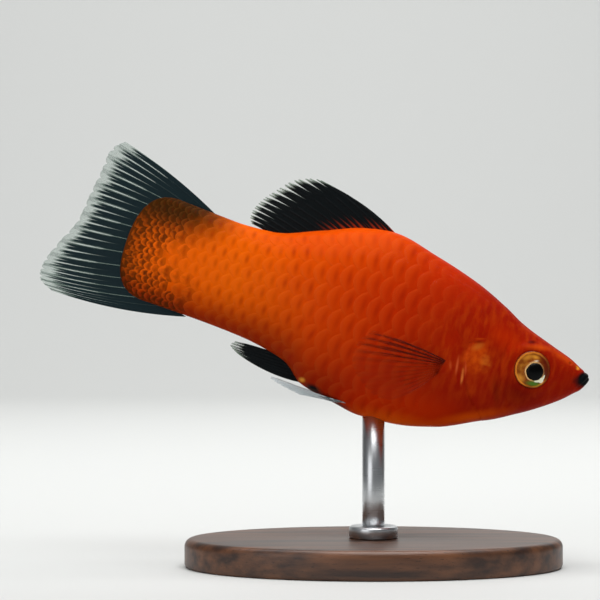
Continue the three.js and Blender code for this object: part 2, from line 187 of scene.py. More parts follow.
def addNode(tree, kind, inputs=(), out=None, stops=(), **settings):
    # Adds a node and returns its first output, or the one named. Inputs are values, hex
    # colours or the sockets that feed it, by name or in the order the node shows them.
    # Stops are a colour ramp's (place, hex colour).
    node = tree.nodes.new(kind)
    for name, value in {**usual.get(kind, {}), **settings}.items():
        setattr(node, name, value)
    for i, (at, colour) in enumerate(stops):
        element = node.color_ramp.elements[i] if i < 2 else node.color_ramp.elements.new(at)
        element.position = at
        element.color = linear(colour)
    shown = [socket for socket in node.inputs if socket.enabled]
    for key, value in inputs.items() if isinstance(inputs, dict) else enumerate(inputs):
        socket = node.inputs[key] if isinstance(key, str) else shown[key]
        if isinstance(value, bpy.types.NodeSocket):
            tree.links.new(value, socket)
        elif isinstance(value, str) and value.startswith("#"):
            socket.default_value = linear(value)
        else:
            socket.default_value = value
    if out:
        return node.outputs[out]
    return next((socket for socket in node.outputs if socket.enabled), None)


def putInScene(name, data):
    thing = bpy.data.objects.new(name, data)
    bpy.context.scene.collection.objects.link(thing)
    return thing


def makePiece(name, points, faces, material=None, attributes=None, edges=()):
    mesh = bpy.data.meshes.new(name)
    mesh.from_pydata([tuple(p) for p in points], edges, faces)
    mesh.validate()
    for key, values in (attributes or {}).items():
        values = np.asarray(values, np.float32)
        kind, field = ("FLOAT", "value") if values.ndim == 1 else ("FLOAT_VECTOR", "vector")
        mesh.attributes.new(key, kind, "POINT").data.foreach_set(field, values.ravel())
    mesh.polygons.foreach_set("use_smooth", [True] * len(mesh.polygons))
    if material:
        mesh.materials.append(material)
    return putInScene(name, mesh)


def gridFaces(rows, columns, closed=False, start=0, flip=False):
    # Quads between rows of points, closed round each row or open.
    faces = []
    for row in range(rows - 1):
        for column in range(columns if closed else columns - 1):
            a = start + row * columns + column
            b = start + row * columns + (column + 1) % columns
            quad = (a, b, b + columns, a + columns)
            faces.append(quad[::-1] if flip else quad)
    return faces


def gridBorder(rows, columns):
    # The points round the edge of an open grid, in order.
    index = np.arange(rows * columns).reshape(rows, columns)
    edges = [index[0], index[1:, -1], index[-1, -2::-1], index[-2:0:-1, 0]]
    return np.concatenate(edges).tolist()


def newMaterial(name):
    material = bpy.data.materials.new(name)
    material.use_nodes = True
    material.node_tree.nodes.clear()
    return material, material.node_tree


def finishMaterial(tree, inputs):
    shader = addNode(tree, "ShaderNodeBsdfPrincipled", inputs)
    addNode(tree, "ShaderNodeOutputMaterial", [shader])


def newGeometryTree(name, inputs):
    # A Geometry Nodes tree with named inputs, {name: kind}. Returns their sockets as well.
    tree = bpy.data.node_groups.new(name, "GeometryNodeTree")
    for label, kind in {"Geometry": "Geometry", **inputs}.items():
        tree.interface.new_socket(label, in_out="INPUT", socket_type="NodeSocket" + kind)
    tree.interface.new_socket("Geometry", in_out="OUTPUT", socket_type="NodeSocketGeometry")
    return tree, addNode(tree, "NodeGroupInput").node.outputs


def finishGeometryTree(tree, shape, material):
    shape = addNode(tree, "GeometryNodeSetShadeSmooth", [shape])
    shape = addNode(tree, "GeometryNodeSetMaterial", {"Geometry": shape, "Material": material})
    addNode(tree, "NodeGroupOutput", [shape])
    return tree


def growPiece(name, seed, tree, values):
    # Runs a Geometry Nodes tree on a seed object and keeps the result as a plain mesh.
    modifier = seed.modifiers.new(tree.name, "NODES")
    modifier.node_group = tree
    for item in tree.interface.items_tree:
        if item.in_out == "INPUT" and item.name in values:
            modifier[item.identifier] = values[item.name]
    bpy.context.view_layer.update()
    graph = bpy.context.evaluated_depsgraph_get()
    grown = seed.evaluated_get(graph)
    mesh = bpy.data.meshes.new_from_object(grown, preserve_all_data_layers=True, depsgraph=graph)
    seed.modifiers.remove(modifier)
    bpy.data.objects.remove(seed)
    mesh.name = name
    return putInScene(name, mesh)


def storeBakeMap(mesh, places):
    # The unwrap that a baked colour is laid out on, one place for each vertex.
    corners = np.zeros(len(mesh.loops), np.int32)
    mesh.loops.foreach_get("vertex_index", corners)
    layer = mesh.uv_layers.new(name="OFBake")
    layer.data.foreach_set("uv", np.asarray(places, np.float32)[corners].ravel())


def finishPiece(piece, slot, *nodes):
    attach(piece, "root")
    if nodes:
        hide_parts(*nodes)


print("colours of the fish")
colours = {
    "headRed": "#8E1605",  # cheeks, chest and lower flank
    "flankRed": "#B82903",
    "flankOrange": "#C93B03",
    "tailOrange": "#E65C03",
    "backOrange": "#D74701",
    "bellyRed": "#922504",
    "paintedShadeRed": "#560903",  # painted shade round the eye and in the folds of the head
    "gillOrange": "#C84A0C",
    "gold": "#D98F2E",
    "foldPink": "#D2582C",  # thin skin over the shoulder bone
    "edgeOrange": "#F4873C",  # rear edges of scales
    "netBrown": "#3A1F07",  # scale middles on the tail fin's base
    "ink": "#0B1012",  # black of lips and vent
    "irisRed": "#5E1A06",
    "irisGreen": "#447A22",
    # painted highlight in the eye
    "glint": "#FFFFE2",
}
bodyColours = {  # (behind, colour) along the back, the flank and the belly, and where they meet
    "back": [
        (0, "headRed"), (10, "headRed"), (16, "flankRed"), (23, "backOrange"), (28, "backOrange"),
        (35, "tailOrange"),
    ],
    "flank": [
        (0, "headRed"), (11, "headRed"), (19, "flankRed"), (25, "flankOrange"), (33, "tailOrange"),
        (44, "tailOrange"),
    ],
    "belly": [(0, "headRed"), (20, "headRed"), (26, "bellyRed"), (44, "bellyRed")],
    "flankFrom": (0.12, 0.42),  # share of the way from the back to the belly
    "bellyFrom": (0.56, 0.88),
    "span": 44.0,
    "wander": 0.1,  # how far the borders wander
    "blotchPerMm": 0.45,
    "patterns": {  # grains per mm behind, up and across, and the range of grey that shows
        "fleck": ((1.1, 1.1, 1.1), 0.32, 0.6),
        "streak": ((2.0, 0.55, 1.0), 0.42, 0.66),
    },
}
throughFish = 1000.0  # mm, how far across a mark reaches where it gives no number
fishMarks = [
    # colour, middle (behind, height), reach, turn, softness, strength, pattern. A third
    # number in both is across, from the middle to either side.
    ("gillOrange", (9.0, -0.5), (9.5, 7.0), 0, 0.6, 0.3, "streak"),
    # painted shade under the eye and in the fold in front of the gill cover
    ("paintedShadeRed", (6.2, -2.9), (3.4, 2.4), 0, 1.0, 0.5, None),
    ("paintedShadeRed", (8.0, -3.4), (0.55, 2.2), -22, 1.0, 0.4, None),
    ("gillOrange", (10.5, -1.1), (2.3, 2.3), 0, 1.0, 1.0, "fleck"),
    ("gold", (9.6, -1.15), (0.8, 1.1), -16, 1.0, 0.3, "fleck"),
    ("gold", (10.7, 0.0), (0.9, 0.45), -35, 1.0, 0.25, None),
    ("gillOrange", (10.2, -3.6), (1.3, 1.2), -20, 1.0, 0.25, "fleck"),
    ("flankRed", (8.4, 1.3), (3.0, 1.6), 20, 1.0, 0.6, None),
    # painted light reflected up from below onto the lower flank and belly
    ("flankRed", (16.0, -7.4), (8.5, 3.2), -5, 0.8, 1.0, None),
    # painted shade in the notch above the eye
    ("paintedShadeRed", (6.08, 1.74), (0.62, 0.24), -16, 0.9, 0.9, None),
    ("gillOrange", (5.3, 1.45), (1.9, 0.42), -11, 1.0, 0.6, None),
    ("gillOrange", (2.9, 1.2), (2.2, 0.5), 14, 1.0, 0.5, None),
    ("edgeOrange", (11.3, -2.85), (0.19, 1.15), -8, 1.0, 0.8, "fleck"),
    ("foldPink", (11.2, -2.2), (0.14, 0.8), -14, 1.0, 0.6, None),
    ("foldPink", (12.01, -2.12), (0.18, 1.15), -7, 1.0, 0.8, None),
    ("foldPink", (12.6, -2.25), (0.2, 0.6), -20, 1.0, 0.4, None),
    # a light orange line with a line of painted shade under it, along the gill cover's upper edge
    ("gillOrange", (10.7, 0.72), (0.75, 0.12), -16, 1.0, 0.45, None),
    ("paintedShadeRed", (10.75, 0.42), (0.75, 0.2), -16, 1.0, 0.5, None),
    ("tailOrange", (9.6, -6.3), (5.2, 0.8), -26, 1.0, 0.5, None),
    # painted light reflected up from below along the belly's lower edge
    ("tailOrange", (15.8, -8.8), (7.0, 1.6), -4, 1.0, 0.7, None),
    ("ink", (21.8, -8.35), (3.2, 0.42), 9, 0.9, 0.9, "fleck"),
    ("ink", (23.6, -7.75), (1.1, 0.55), 14, 0.8, 1.0, None),
    ("gold", (24.8, -7.25), (0.42, 0.34), 0, 0.9, 1.0, None),
    ("gold", (1.39, 0.68, 1.15), (0.32, 0.32, 0.5), 0, 0.9, 0.9, None),
    ("ink", (0.95, -0.55), (1.0, 0.7), 20, 1.0, 0.9, None),
    ("ink", (0.4, -0.15), (1.0, 0.8), 10, 0.4, 1.0, None),
    ("netBrown", (40.5, 5.6), (8.5, 5.0), 0, 0.7, 1.0, None),
    ("netBrown", (40.5, -5.0), (7.0, 1.6), 0, 1.0, 0.7, None),
]


def addMarks(tree, colour, place, marks, patterns):
    # Lays soft ovals over a colour. A pattern is a mask that a mark is drawn through.
    for name, middle, reach, turn, soft, strength, pattern in marks:
        inputs = [place, (*middle, 0.0)[:3], (0.0, 0.0, math.radians(turn)), (*reach, throughFish)[:3]]
        offset = addNode(tree, "ShaderNodeMapping", inputs, vector_type="TEXTURE")
        away = addNode(tree, "ShaderNodeVectorMath", [offset], operation="LENGTH")
        mask = addNode(tree, "ShaderNodeMapRange", [away, 1.0, 1.0 - soft, 0.0, strength])
        if pattern:
            mask = addNode(tree, "ShaderNodeMath", [mask, patterns[pattern]], operation="MULTIPLY")
        colour = addNode(tree, "ShaderNodeMix", [mask, colour, colours[name]])
    return colour


def fishPlace(tree):
    # Object coordinates turned back to the fish's own millimetres: behind, height and how
    # far across from the middle. Also returns the first alone.
    here = addNode(tree, "ShaderNodeTexCoord", out="Object")
    snout = tuple(-(tipDown.T @ np.array(body["snout"])))
    inputs = [here, snout, (0.0, -body["noseDown"], 0.0), (1 / millimetre,) * 3]
    turned = addNode(tree, "ShaderNodeMapping", inputs)
    x, y, z = addNode(tree, "ShaderNodeSeparateXYZ", [turned]).node.outputs
    behind = addNode(tree, "ShaderNodeMath", [x, -1.0], operation="MULTIPLY")
    across = addNode(tree, "ShaderNodeMath", [y], operation="ABSOLUTE")
    return addNode(tree, "ShaderNodeCombineXYZ", [behind, z, across]), behind


def paintFish(tree):
    # Skin and scales carry these same markings. Also returns what places them: the place
    # on the fish, how far behind it is, and its share of the way round to the belly.
    place, behind = fishPlace(tree)
    around = addNode(tree, "ShaderNodeAttribute", out="Fac", attribute_name="around")
    blotch = addNode(tree, "ShaderNodeTexNoise", [place, bodyColours["blotchPerMm"], 3.0, 0.6])
    far, span = bodyColours["wander"], bodyColours["span"]
    wander = addNode(tree, "ShaderNodeMath", [blotch, far, -far / 2], operation="MULTIPLY_ADD")
    along = addNode(tree, "ShaderNodeMath", [behind, 1 / span, wander], operation="MULTIPLY_ADD")
    lower = addNode(tree, "ShaderNodeMath", [around, wander], operation="ADD")
    for band in ("back", "flank", "belly"):
        stops = [(at / span, colours[name]) for at, name in bodyColours[band]]
        painted = addNode(tree, "ShaderNodeValToRGB", [along], stops=stops)
        if band != "back":
            mask = addNode(tree, "ShaderNodeMapRange", [lower, *bodyColours[band + "From"]])
            painted = addNode(tree, "ShaderNodeMix", [mask, colour, painted])
        colour = painted
    patterns = {}
    for name, (perMm, start, end) in bodyColours["patterns"].items():
        drawn = addNode(tree, "ShaderNodeMapping", {"Vector": place, "Scale": perMm})
        grain = addNode(tree, "ShaderNodeTexNoise", [drawn, 1.0, 4.0])
        patterns[name] = addNode(
            tree, "ShaderNodeMapRange", [grain, start, end], interpolation_type="LINEAR"
        )
    return addMarks(tree, colour, place, fishMarks, patterns), place, behind, around


print("skin")
skin = {
    "around": 256,
    "inset": 0.05,
    "samples": 6000,
    "fineStep": 0.095,  # between rings on the head, as far behind as fineTo
    "fineTo": 12.0,
    "step": 0.24,  # and on the body, from coarseFrom
    "coarseFrom": 16.0,
    "brownFrom": (38.5, 42.5, 0.0, 0.9),  # where the skin under the dark net browns, and how much
    "grainPerMm": 5.0,
    "grainHigh": 0.04,
}
head = {
    "gillEdge": [  # (height, behind) of the gill cover's rear edge
        (-7.5, 7.4), (-5.8, 8.59), (-4.8, 9.76), (-3.63, 10.57), (-2.24, 11.25), (-1.06, 11.41),
        (-0.1, 11.31), (0.84, 10.65), (1.49, 9.71), (3.4, 9.2), (7, 8.7),
    ],
    "gillStep": 0.1,
    "gillRise": ((-2.4, -0.15), (0.14, 0.02)),  # past the edge, where the step starts and ends
    "gillGap": ((0.02, 0.14), (1.1, 0.2)),  # and the hollow behind it
    "gillGapShare": 0.4,
    "gillShown": ((-6.6, -5.6), (0.6, -0.9)),  # the same in height
    "cheekLine": [  # (height, behind) of the fold in front of the gill cover
        (-4.1, 6.9), (-3.19, 7.5), (-1.96, 8.1), (-0.59, 8.22), (0.85, 8.05),
    ],
    "cheekFolds": [(0.04, -0.4, 0.28), (-0.05, 0.0, 0.16)],  # (how high, how far past, how wide)
    "cheekShown": ((-5.0, -4.2), (1.5, 0.8)),
    "mouthFront": (0.04, 0.16),
    "mouthCorner": (0.95, -1.15),
    "lipFolds": [(0.07, 0.25, 0.2), (-0.042, 0.0, 0.08), (-0.05, 0.62, 0.12)],
    "lipFront": (-1.4, -0.9),
    "lipCorner": (0.35, -0.25),
    "nostrils": [(1.45, 0.62, 0.16), (2.15, 0.88, 0.16)],  # (behind, height, radius)
    "nostrilFolds": [(0.02, 1.3, 0.4), (-0.12, 0.0, 0.7)],  # by their radius
    "nostrilAcross": (0.25, 0.5),
}
eye = {
    "behind": 5.44,
    "height": -0.62,
    "radius": 1.62,
    "orbit": (1.08, 0.15),  # the skin flattens between these distances from the ball
    "flat": 0.75,
    "sunk": 0.02,
    "reach": 1.6,  # how far in and out of the skin that holds
    "socketWall": (0.02, -0.25),
    "socketDeep": 0.9,
}
gillEdge, cheekLine = profile(head["gillEdge"]), profile(head["cheekLine"])
wetFinish = {
    "Roughness": 0.5,
    "IOR": 1.38,
    "Specular IOR Level": 0.02,
    "Specular Tint": (1.0, 0.4, 0.15, 1.0),
    "Subsurface Weight": 0.08,
    "Subsurface Radius": (1.0, 0.3, 0.12),
    "Subsurface Scale": 0.0005,
    "Coat Weight": 0.016,
    "Coat Roughness": 0.12,
}


def makeSkinMaterial():
    # Wet fish skin under a clear varnish: soft depth of colour with a smooth shine.
    material, tree = newMaterial("wetPlatySkin")
    colour, place, behind, _ = paintFish(tree)
    tailward = addNode(tree, "ShaderNodeMapRange", [behind, *skin["brownFrom"]])
    colour = addNode(tree, "ShaderNodeMix", [tailward, colour, colours["netBrown"]])
    grain = addNode(tree, "ShaderNodeTexNoise", [place, skin["grainPerMm"], 3.0])
    inputs = {"Strength": 0.1, "Distance": skin["grainHigh"] * millimetre, "Height": grain}
    relief = addNode(tree, "ShaderNodeBump", inputs)
    finishMaterial(tree, {**wetFinish, "Base Color": colour, "Normal": relief})
    return material


def standOn(behind, height, side):
    # A frame on the skin: its place, and axes with the third pointing out of the fish.
    step = 0.05
    place = np.array([-behind, side * float(flankAt(behind, height)), height])
    slope = float(flankAt(behind + step, height) - flankAt(behind - step, height)) / (2 * step)
    lean = float(flankAt(behind, height + step) - flankAt(behind, height - step)) / (2 * step)
    out = unit(np.array([slope, side, -lean]))
    ahead = unit(np.cross(np.cross(out, (1, 0, 0)), out))
    return place, np.array([ahead, np.cross(out, ahead), out])


def skinRings():
    # Distances behind the jaw, even along the outline and finer on the head.
    fine = body["length"] * (1 - np.cos(np.linspace(0, math.pi, skin["samples"]))) / 2
    top, bottom, _, side = section(fine)
    run = np.hypot(np.hypot(np.diff(fine), np.diff(top)), np.hypot(np.diff(bottom), np.diff(side)))
    coarse = ease(skin["fineTo"], skin["coarseFrom"], fine[1:])
    spacing = skin["fineStep"] + (skin["step"] - skin["fineStep"]) * coarse
    count = np.concatenate([[0], np.cumsum(run / spacing)])
    return np.interp(np.arange(1, int(count[-1])), count, fine)


def between(ends, value):
    # Fades in over the first pair and out over the second.
    return ease(*ends[0], value) * ease(*ends[1], value)


def folds(shape, value):
    # Smooth folds across a line, each with its height, its place and its width.
    return sum(high * np.exp(-(((value - at) / wide) ** 2)) for high, at, wide in shape)


def foldSkin(behind, height, across):
    # How far the head's folds stand out of the smooth body, by place in side view. The last
    # is how far the place is from the middle.
    def beyond(line, step=0.05):
        slant = (line(height + step) - line(height - step)) / (2 * step)
        return (behind - line(height)) / np.sqrt(1 + slant**2)

    past = beyond(gillEdge)
    step = between(head["gillRise"], past) - head["gillGapShare"] * between(head["gillGap"], past)
    lift = head["gillStep"] * step * between(head["gillShown"], height)
    lift += folds(head["cheekFolds"], beyond(cheekLine)) * between(head["cheekShown"], height)
    front, corner = np.array(head["mouthFront"]), np.array(head["mouthCorner"])
    run = np.linalg.norm(corner - front)
    way = (corner - front) / run
    along = (behind - front[0]) * way[0] + (height - front[1]) * way[1]
    aside = np.abs((height - front[1]) * way[0] - (behind - front[0]) * way[1])
    shown = ease(*head["lipCorner"], along - run) * ease(*head["lipFront"], along)
    lift += folds(head["lipFolds"], aside) * shown
    for pitBehind, pitHeight, radius in head["nostrils"]:
        away = np.hypot(behind - pitBehind, height - pitHeight) / radius
        lift += folds(head["nostrilFolds"], away) * ease(*head["nostrilAcross"], across)
    return lift


def makeSkin(material):
    wide, length = skin["around"], body["length"]
    rings, turn = skinRings(), 2 * math.pi * np.arange(wide) / wide
    behind, angle = (part.ravel() for part in np.meshgrid(rings, turn, indexing="ij"))
    smooth, out = skinPoint(behind, angle), skinNormal(behind, angle)
    across = np.abs(smooth[:, 1] - tailShift(behind))
    lift = foldSkin(behind, smooth[:, 2], across) - skin["inset"]
    points = smooth + out * lift[:, None]
    for side in sides.values():
        centre, axes = standOn(eye["behind"], eye["height"], side)
        local = (points - centre) @ axes.T
        past = np.hypot(local[:, 0], local[:, 1]) - eye["radius"]
        near = (past < eye["orbit"][0]) & (np.abs(local[:, 2]) < eye["reach"])
        flat = eye["flat"] * ease(*eye["orbit"], past)
        depth = local[:, 2] * (1 - flat) - eye["sunk"] * flat
        depth -= eye["socketDeep"] * ease(*eye["socketWall"], past)
        local[:, 2] = np.where(near, depth, local[:, 2])
        points = np.where(near[:, None], local @ axes + centre, points)
    ends = []
    for at, way in ((0.0, 1), (length, -1)):
        middle = float(section(np.array(at))[2])
        ends.append([-at - way * skin["inset"], float(tailShift(np.array(at))), middle])
    count = len(points)
    faces = gridFaces(len(rings), wide, closed=True, flip=True)
    for k in range(wide):
        after = (k + 1) % wide
        faces.append((count, k, after))
        faces.append((count + 1, count - wide + after, count - wide + k))
    around = np.abs((angle + math.pi) % (2 * math.pi) - math.pi) / math.pi
    out = np.vstack([out, [[1, 0, 0], [-1, 0, 0]]])
    attributes = {"around": np.append(around, [0.5, 0.5]), "outward": out @ tipDown.T}
    piece = makePiece("skin", toFrame(np.vstack([points, ends])), faces, material, attributes)
    behind = np.append(behind, [0, length])
    angle = np.append(angle, [math.pi, math.pi])
    storeBakeMap(piece.data, np.stack([angle / (2 * math.pi), behind / length], -1))
    return piece


print("scales")
scales = {
    "rows": 9,  # from the back's middle to the belly's, each side
    "pitch": [(5, 1.15), (10, 1.23), (22, 1.23), (33, 1.05), (41, 0.95)],
    "tailRows": 15,  # of small scales over the tail fin's base
    "tailPitch": 0.6,
    "tailFrom": 36.8,  # where they start at the edges, and how much later in the middle
    "tailBow": 3.0,
    "tailUneven": 0.35,
    "tailGap": 0.3,  # bare skin behind the last of them
    "napeFrom": 8.2,
    "napeSide": 10.6,  # where they start at the side of the nape, which ends at napeLow
    "napeLow": 1.6,
    "gillHigh": 1.5,  # below this height they start behind the gill cover
    "behindGill": 1.9,
    "reachUp": 0.8,  # how far above its middle a scale must stay clear of the gill cover
    "overlap": 1.9,
    "wide": 1.5,
    "widthVaries": 0.06,
    "arc": 0.3,  # how far the rear edge's ends lie before its middle
    "waist": 0.22,  # how much narrower the root is
    "widest": 1.1,  # half its length over how far back it is widest
    "crowd": 0.85,  # crowds the rows of points, 1 is even
    "sunk": 0.012,  # depth of its root under the skin
    "bare": 0.42,  # share of its length under the scale in front
    "low": 0.005,  # height of the skin's surface where it comes out, and at its rear edge
    "high": 0.011,
    "droop": 0.004,
    "thick": 0.008,
    "feather": 1.025,  # how much larger its underside is, which slants its edge
    "core": 0.09,  # depth of the middle of its underside
    "shoulder": (12, 19),  # over which they come to stand fully proud
    "shoulderShare": 0.2,
    "along": 5,
    "across": 8,
    "seed": 7,
    "bakePatch": 0.003,
}
scaleMarks = [
    # as on the fish, on one scale: (from front to rear edge, across), 1 long and 1 wide
    # the darker middle: partly pigment, partly painted shade under the edge of the scale in front
    ("headRed", (0.12, 0.0), (0.16, 0.38), 0, 1.0, 0.5, "uneven"),
]
scaleShades = {  # each from, to, and its share before and past them
    "net": (38.2, 43.4, 0.0, 0.8),  # where the dark net starts, soonest at the edges
    "dark": (1.6, 1.05, 0.0, 1.0),  # a scale's dark middle there
    "uneven": (0.0, 1.0, 0.35, 0.9),
    "clear": (12.0, 18.0, 0.15, 1.0),  # scales stand out less on the shoulder
    # the lighter rear edge, partly a painted highlight
    "edge": (0.6, 1.0, 0.0, 0.05),
    "last": (41.0, 43.6, 0.0, 0.65),  # brown over the last rows
}
netStart = {"edgesFirst": 8.0, "scatter": 2.4, "spotPerMm": 2.4, "spotRagged": 1.1}


def makeScaleMaterial():
    # Thin scales over the pigment: a darker middle, partly pigment and partly painted shade under the edge
    # of the scale in front, a lighter rear edge, partly a painted highlight, and the same wet shine.
    material, tree = newMaterial("wetPlatyScale")
    colour, place, behind, around = paintFish(tree)
    rim, chance = (
        addNode(tree, "ShaderNodeAttribute", out="Fac", attribute_name=key)
        for key in ("rim", "chance")
    )
    local = addNode(tree, "ShaderNodeAttribute", out="Vector", attribute_name="local")
    spot = addNode(tree, "ShaderNodeTexNoise", [place, netStart["spotPerMm"], 2.0])
    early = around
    for operation, *others in (
        ("SUBTRACT", 0.5),
        ("ABSOLUTE",),
        ("MULTIPLY_ADD", netStart["edgesFirst"], behind),
    ):
        early = addNode(tree, "ShaderNodeMath", [early, *others], operation=operation)
    inputs = [chance, netStart["scatter"], early]
    early = addNode(tree, "ShaderNodeMath", inputs, operation="MULTIPLY_ADD")
    inputs = [spot, netStart["spotRagged"], rim]
    spot = addNode(tree, "ShaderNodeMath", inputs, operation="MULTIPLY_ADD")
    follows = {
        "net": early, "dark": spot, "uneven": chance, "clear": behind, "edge": rim, "last": behind,
    }
    masks = {
        key: addNode(tree, "ShaderNodeMapRange", [value, *scaleShades[key]])
        for key, value in follows.items()
    }
    joined = [
        addNode(tree, "ShaderNodeMath", [masks[one], masks[other]], operation="MULTIPLY")
        for one, other in (("uneven", "clear"), ("edge", "clear"), ("net", "dark"))
    ]
    colour = addMarks(tree, colour, local, scaleMarks, {"uneven": joined[0]})
    for mask, name in zip((*joined[1:], masks["last"]), ("edgeOrange", "netBrown", "netBrown")):
        colour = addNode(tree, "ShaderNodeMix", [mask, colour, colours[name]])
    finishMaterial(tree, {**wetFinish, "Base Color": colour})
    return material


def makePlate():
    # One scale, 1 long and 1 wide. Its rear edge is an arc and its front is buried.
    rows, columns = scales["along"] + 1, scales["across"] + 1
    b, a = (part.ravel() for part in np.meshgrid(
        np.linspace(0, 1, rows) ** scales["crowd"], np.linspace(-1, 1, columns), indexing="ij"
    ))
    long = -0.5 + b * (1 - scales["arc"] * a**2)
    bulge = np.sin(math.pi * np.clip(b * scales["widest"], 0, 1))
    wide = 0.5 * a * (1 - scales["waist"] * (1 - bulge))
    low, high, bare = scales["low"], scales["high"], scales["bare"]
    lift = -scales["sunk"] + (low + scales["sunk"]) * ease(0, bare, b) - scales["droop"] * a**2
    lift += (high - low) * np.clip((b - bare) / (1 - bare), 0, 1)
    count, border = rows * columns, gridBorder(rows, columns)
    x = np.concatenate([long, long[border] * scales["feather"], [0.0]])
    y = np.concatenate([wide, wide[border] * scales["feather"], [0.0]])
    rise = np.concatenate([lift, lift[border] - scales["thick"], [-scales["core"]]])
    rim = np.concatenate([b, b[border], [0.5]])
    faces = gridFaces(rows, columns, flip=True)
    for i, edge in enumerate(border):
        after = (i + 1) % len(border)
        faces.append((edge, border[after], count + after, count + i))
        faces.append((count + i, count + after, count + len(border)))
    local = np.stack([x, y, 0 * x], -1)
    return makePiece("scalePlate", local, faces, None, {"rise": rise, "rim": rim, "local": local})


def halfGirth(behind, steps=90):
    # Angles from the back to the belly and how far round the skin each lies.
    angle = np.linspace(0, math.pi, steps)
    points = skinPoint(np.full(steps, behind), angle)
    run = np.concatenate([[0], np.cumsum(np.linalg.norm(np.diff(points, axis=0), axis=1))])
    return angle, run


def onHead(at, height):
    # Whether a scale would lie on the bare head, before the nape or the gill cover's edge.
    if height > scales["gillHigh"]:
        top = float(section(np.array(at))[0])
        aside = float(ease(top, scales["napeLow"], height))
        return at < scales["napeFrom"] + (scales["napeSide"] - scales["napeFrom"]) * aside
    edge = np.max(gillEdge(height + np.array([0.0, scales["reachUp"]])))
    return at < edge + scales["behindGill"]


def scaleSeats(side):
    # Where the scales of one side sit, the large ones and then the small ones over the tail
    # fin's base. The rows on the midlines belong to the right side.
    pitch = profile(scales["pitch"])
    draw = np.random.default_rng(scales["seed"] + side)
    last = body["length"] - scales["tailGap"]
    seats = []
    for small in (False, True):
        rows = scales["tailRows"] if small else scales["rows"]
        behind = scales["tailFrom"] if small else scales["napeFrom"]
        uneven = scales["tailUneven"] if small else 0.0
        while behind < last:
            step = scales["tailPitch"] if small else float(pitch(behind))
            for row in range(rows + 1):
                chance = draw.random(4)
                at = behind + step * (0.5 * (row % 2) + uneven * (chance[2] - 0.5))
                onMiddle = row in (0, rows)
                border = scales["tailFrom"] + scales["tailBow"] * math.sin(math.pi * row / rows)
                if at > last or (onMiddle and side > 0) or (at > border) != small:
                    continue
                angles, run = halfGirth(at)
                shift = 0.0 if onMiddle else uneven * (chance[3] - 0.5)
                angle = float(np.interp(run[-1] * (row + shift) / rows, run, angles))
                if not onHead(at, float(skinPoint(np.array(at), np.array(angle))[2])):
                    seats.append((at, -side * angle, step, run[-1] / rows, chance[0], chance[1]))
            behind += step
    return np.array(seats)


def makeScaleTree():
    # Lays a plate on each seat, then sets each of its points to its own height on the skin.
    tree, given = newGeometryTree("layScales", {
        "Plate": "Object", "Skin": "Object", "Length": "Float", "Width": "Float",
        "Lift": "Float", "Material": "Material",
    })
    plate, coat = (
        addNode(tree, "GeometryNodeObjectInfo", [given[key]], out="Geometry")
        for key in ("Plate", "Skin")
    )
    kinds = dict.fromkeys(("rearward", "outward", "size"), "FLOAT_VECTOR")
    kinds.update(dict.fromkeys(("around", "rise", "proud"), "FLOAT"))
    named = {
        key: addNode(tree, "GeometryNodeInputNamedAttribute", [key], data_type=kind)
        for key, kind in kinds.items()
    }
    axes = [named["rearward"], named["outward"]]
    turn = addNode(tree, "FunctionNodeAxesToRotation", axes, primary_axis="X", secondary_axis="Z")
    factors = addNode(tree, "ShaderNodeCombineXYZ", [given["Length"], given["Width"], 1.0])
    size = addNode(tree, "ShaderNodeVectorMath", [named["size"], factors], operation="MULTIPLY")
    inputs = {"Points": given["Geometry"], "Instance": plate, "Rotation": turn, "Scale": size}
    laid = addNode(tree, "GeometryNodeInstanceOnPoints", inputs)
    laid = addNode(tree, "GeometryNodeRealizeInstances", [laid])
    here = addNode(tree, "GeometryNodeInputPosition")
    inputs = {"Target": coat, "Source Position": here}
    foot = addNode(tree, "GeometryNodeProximity", inputs, target_element="FACES")
    away, around = (
        addNode(
            tree,
            "GeometryNodeSampleNearestSurface",
            {"Mesh": coat, "Value": named[key], "Sample Position": here},
            data_type=kinds[key],
        )
        for key in ("outward", "around")
    )
    height = named["rise"]
    for factor in (named["proud"], given["Lift"]):
        height = addNode(tree, "ShaderNodeMath", [height, factor], operation="MULTIPLY")
    raised = addNode(tree, "ShaderNodeVectorMath", [away, height], operation="SCALE")
    place = addNode(tree, "ShaderNodeVectorMath", [foot, raised], operation="ADD")
    inputs = {"Geometry": laid, "Name": "around", "Value": around}
    laid = addNode(
        tree, "GeometryNodeStoreNamedAttribute", inputs, data_type="FLOAT", domain="POINT"
    )
    laid = addNode(tree, "GeometryNodeSetPosition", {"Geometry": laid, "Position": place})
    return finishGeometryTree(tree, laid, given["Material"])


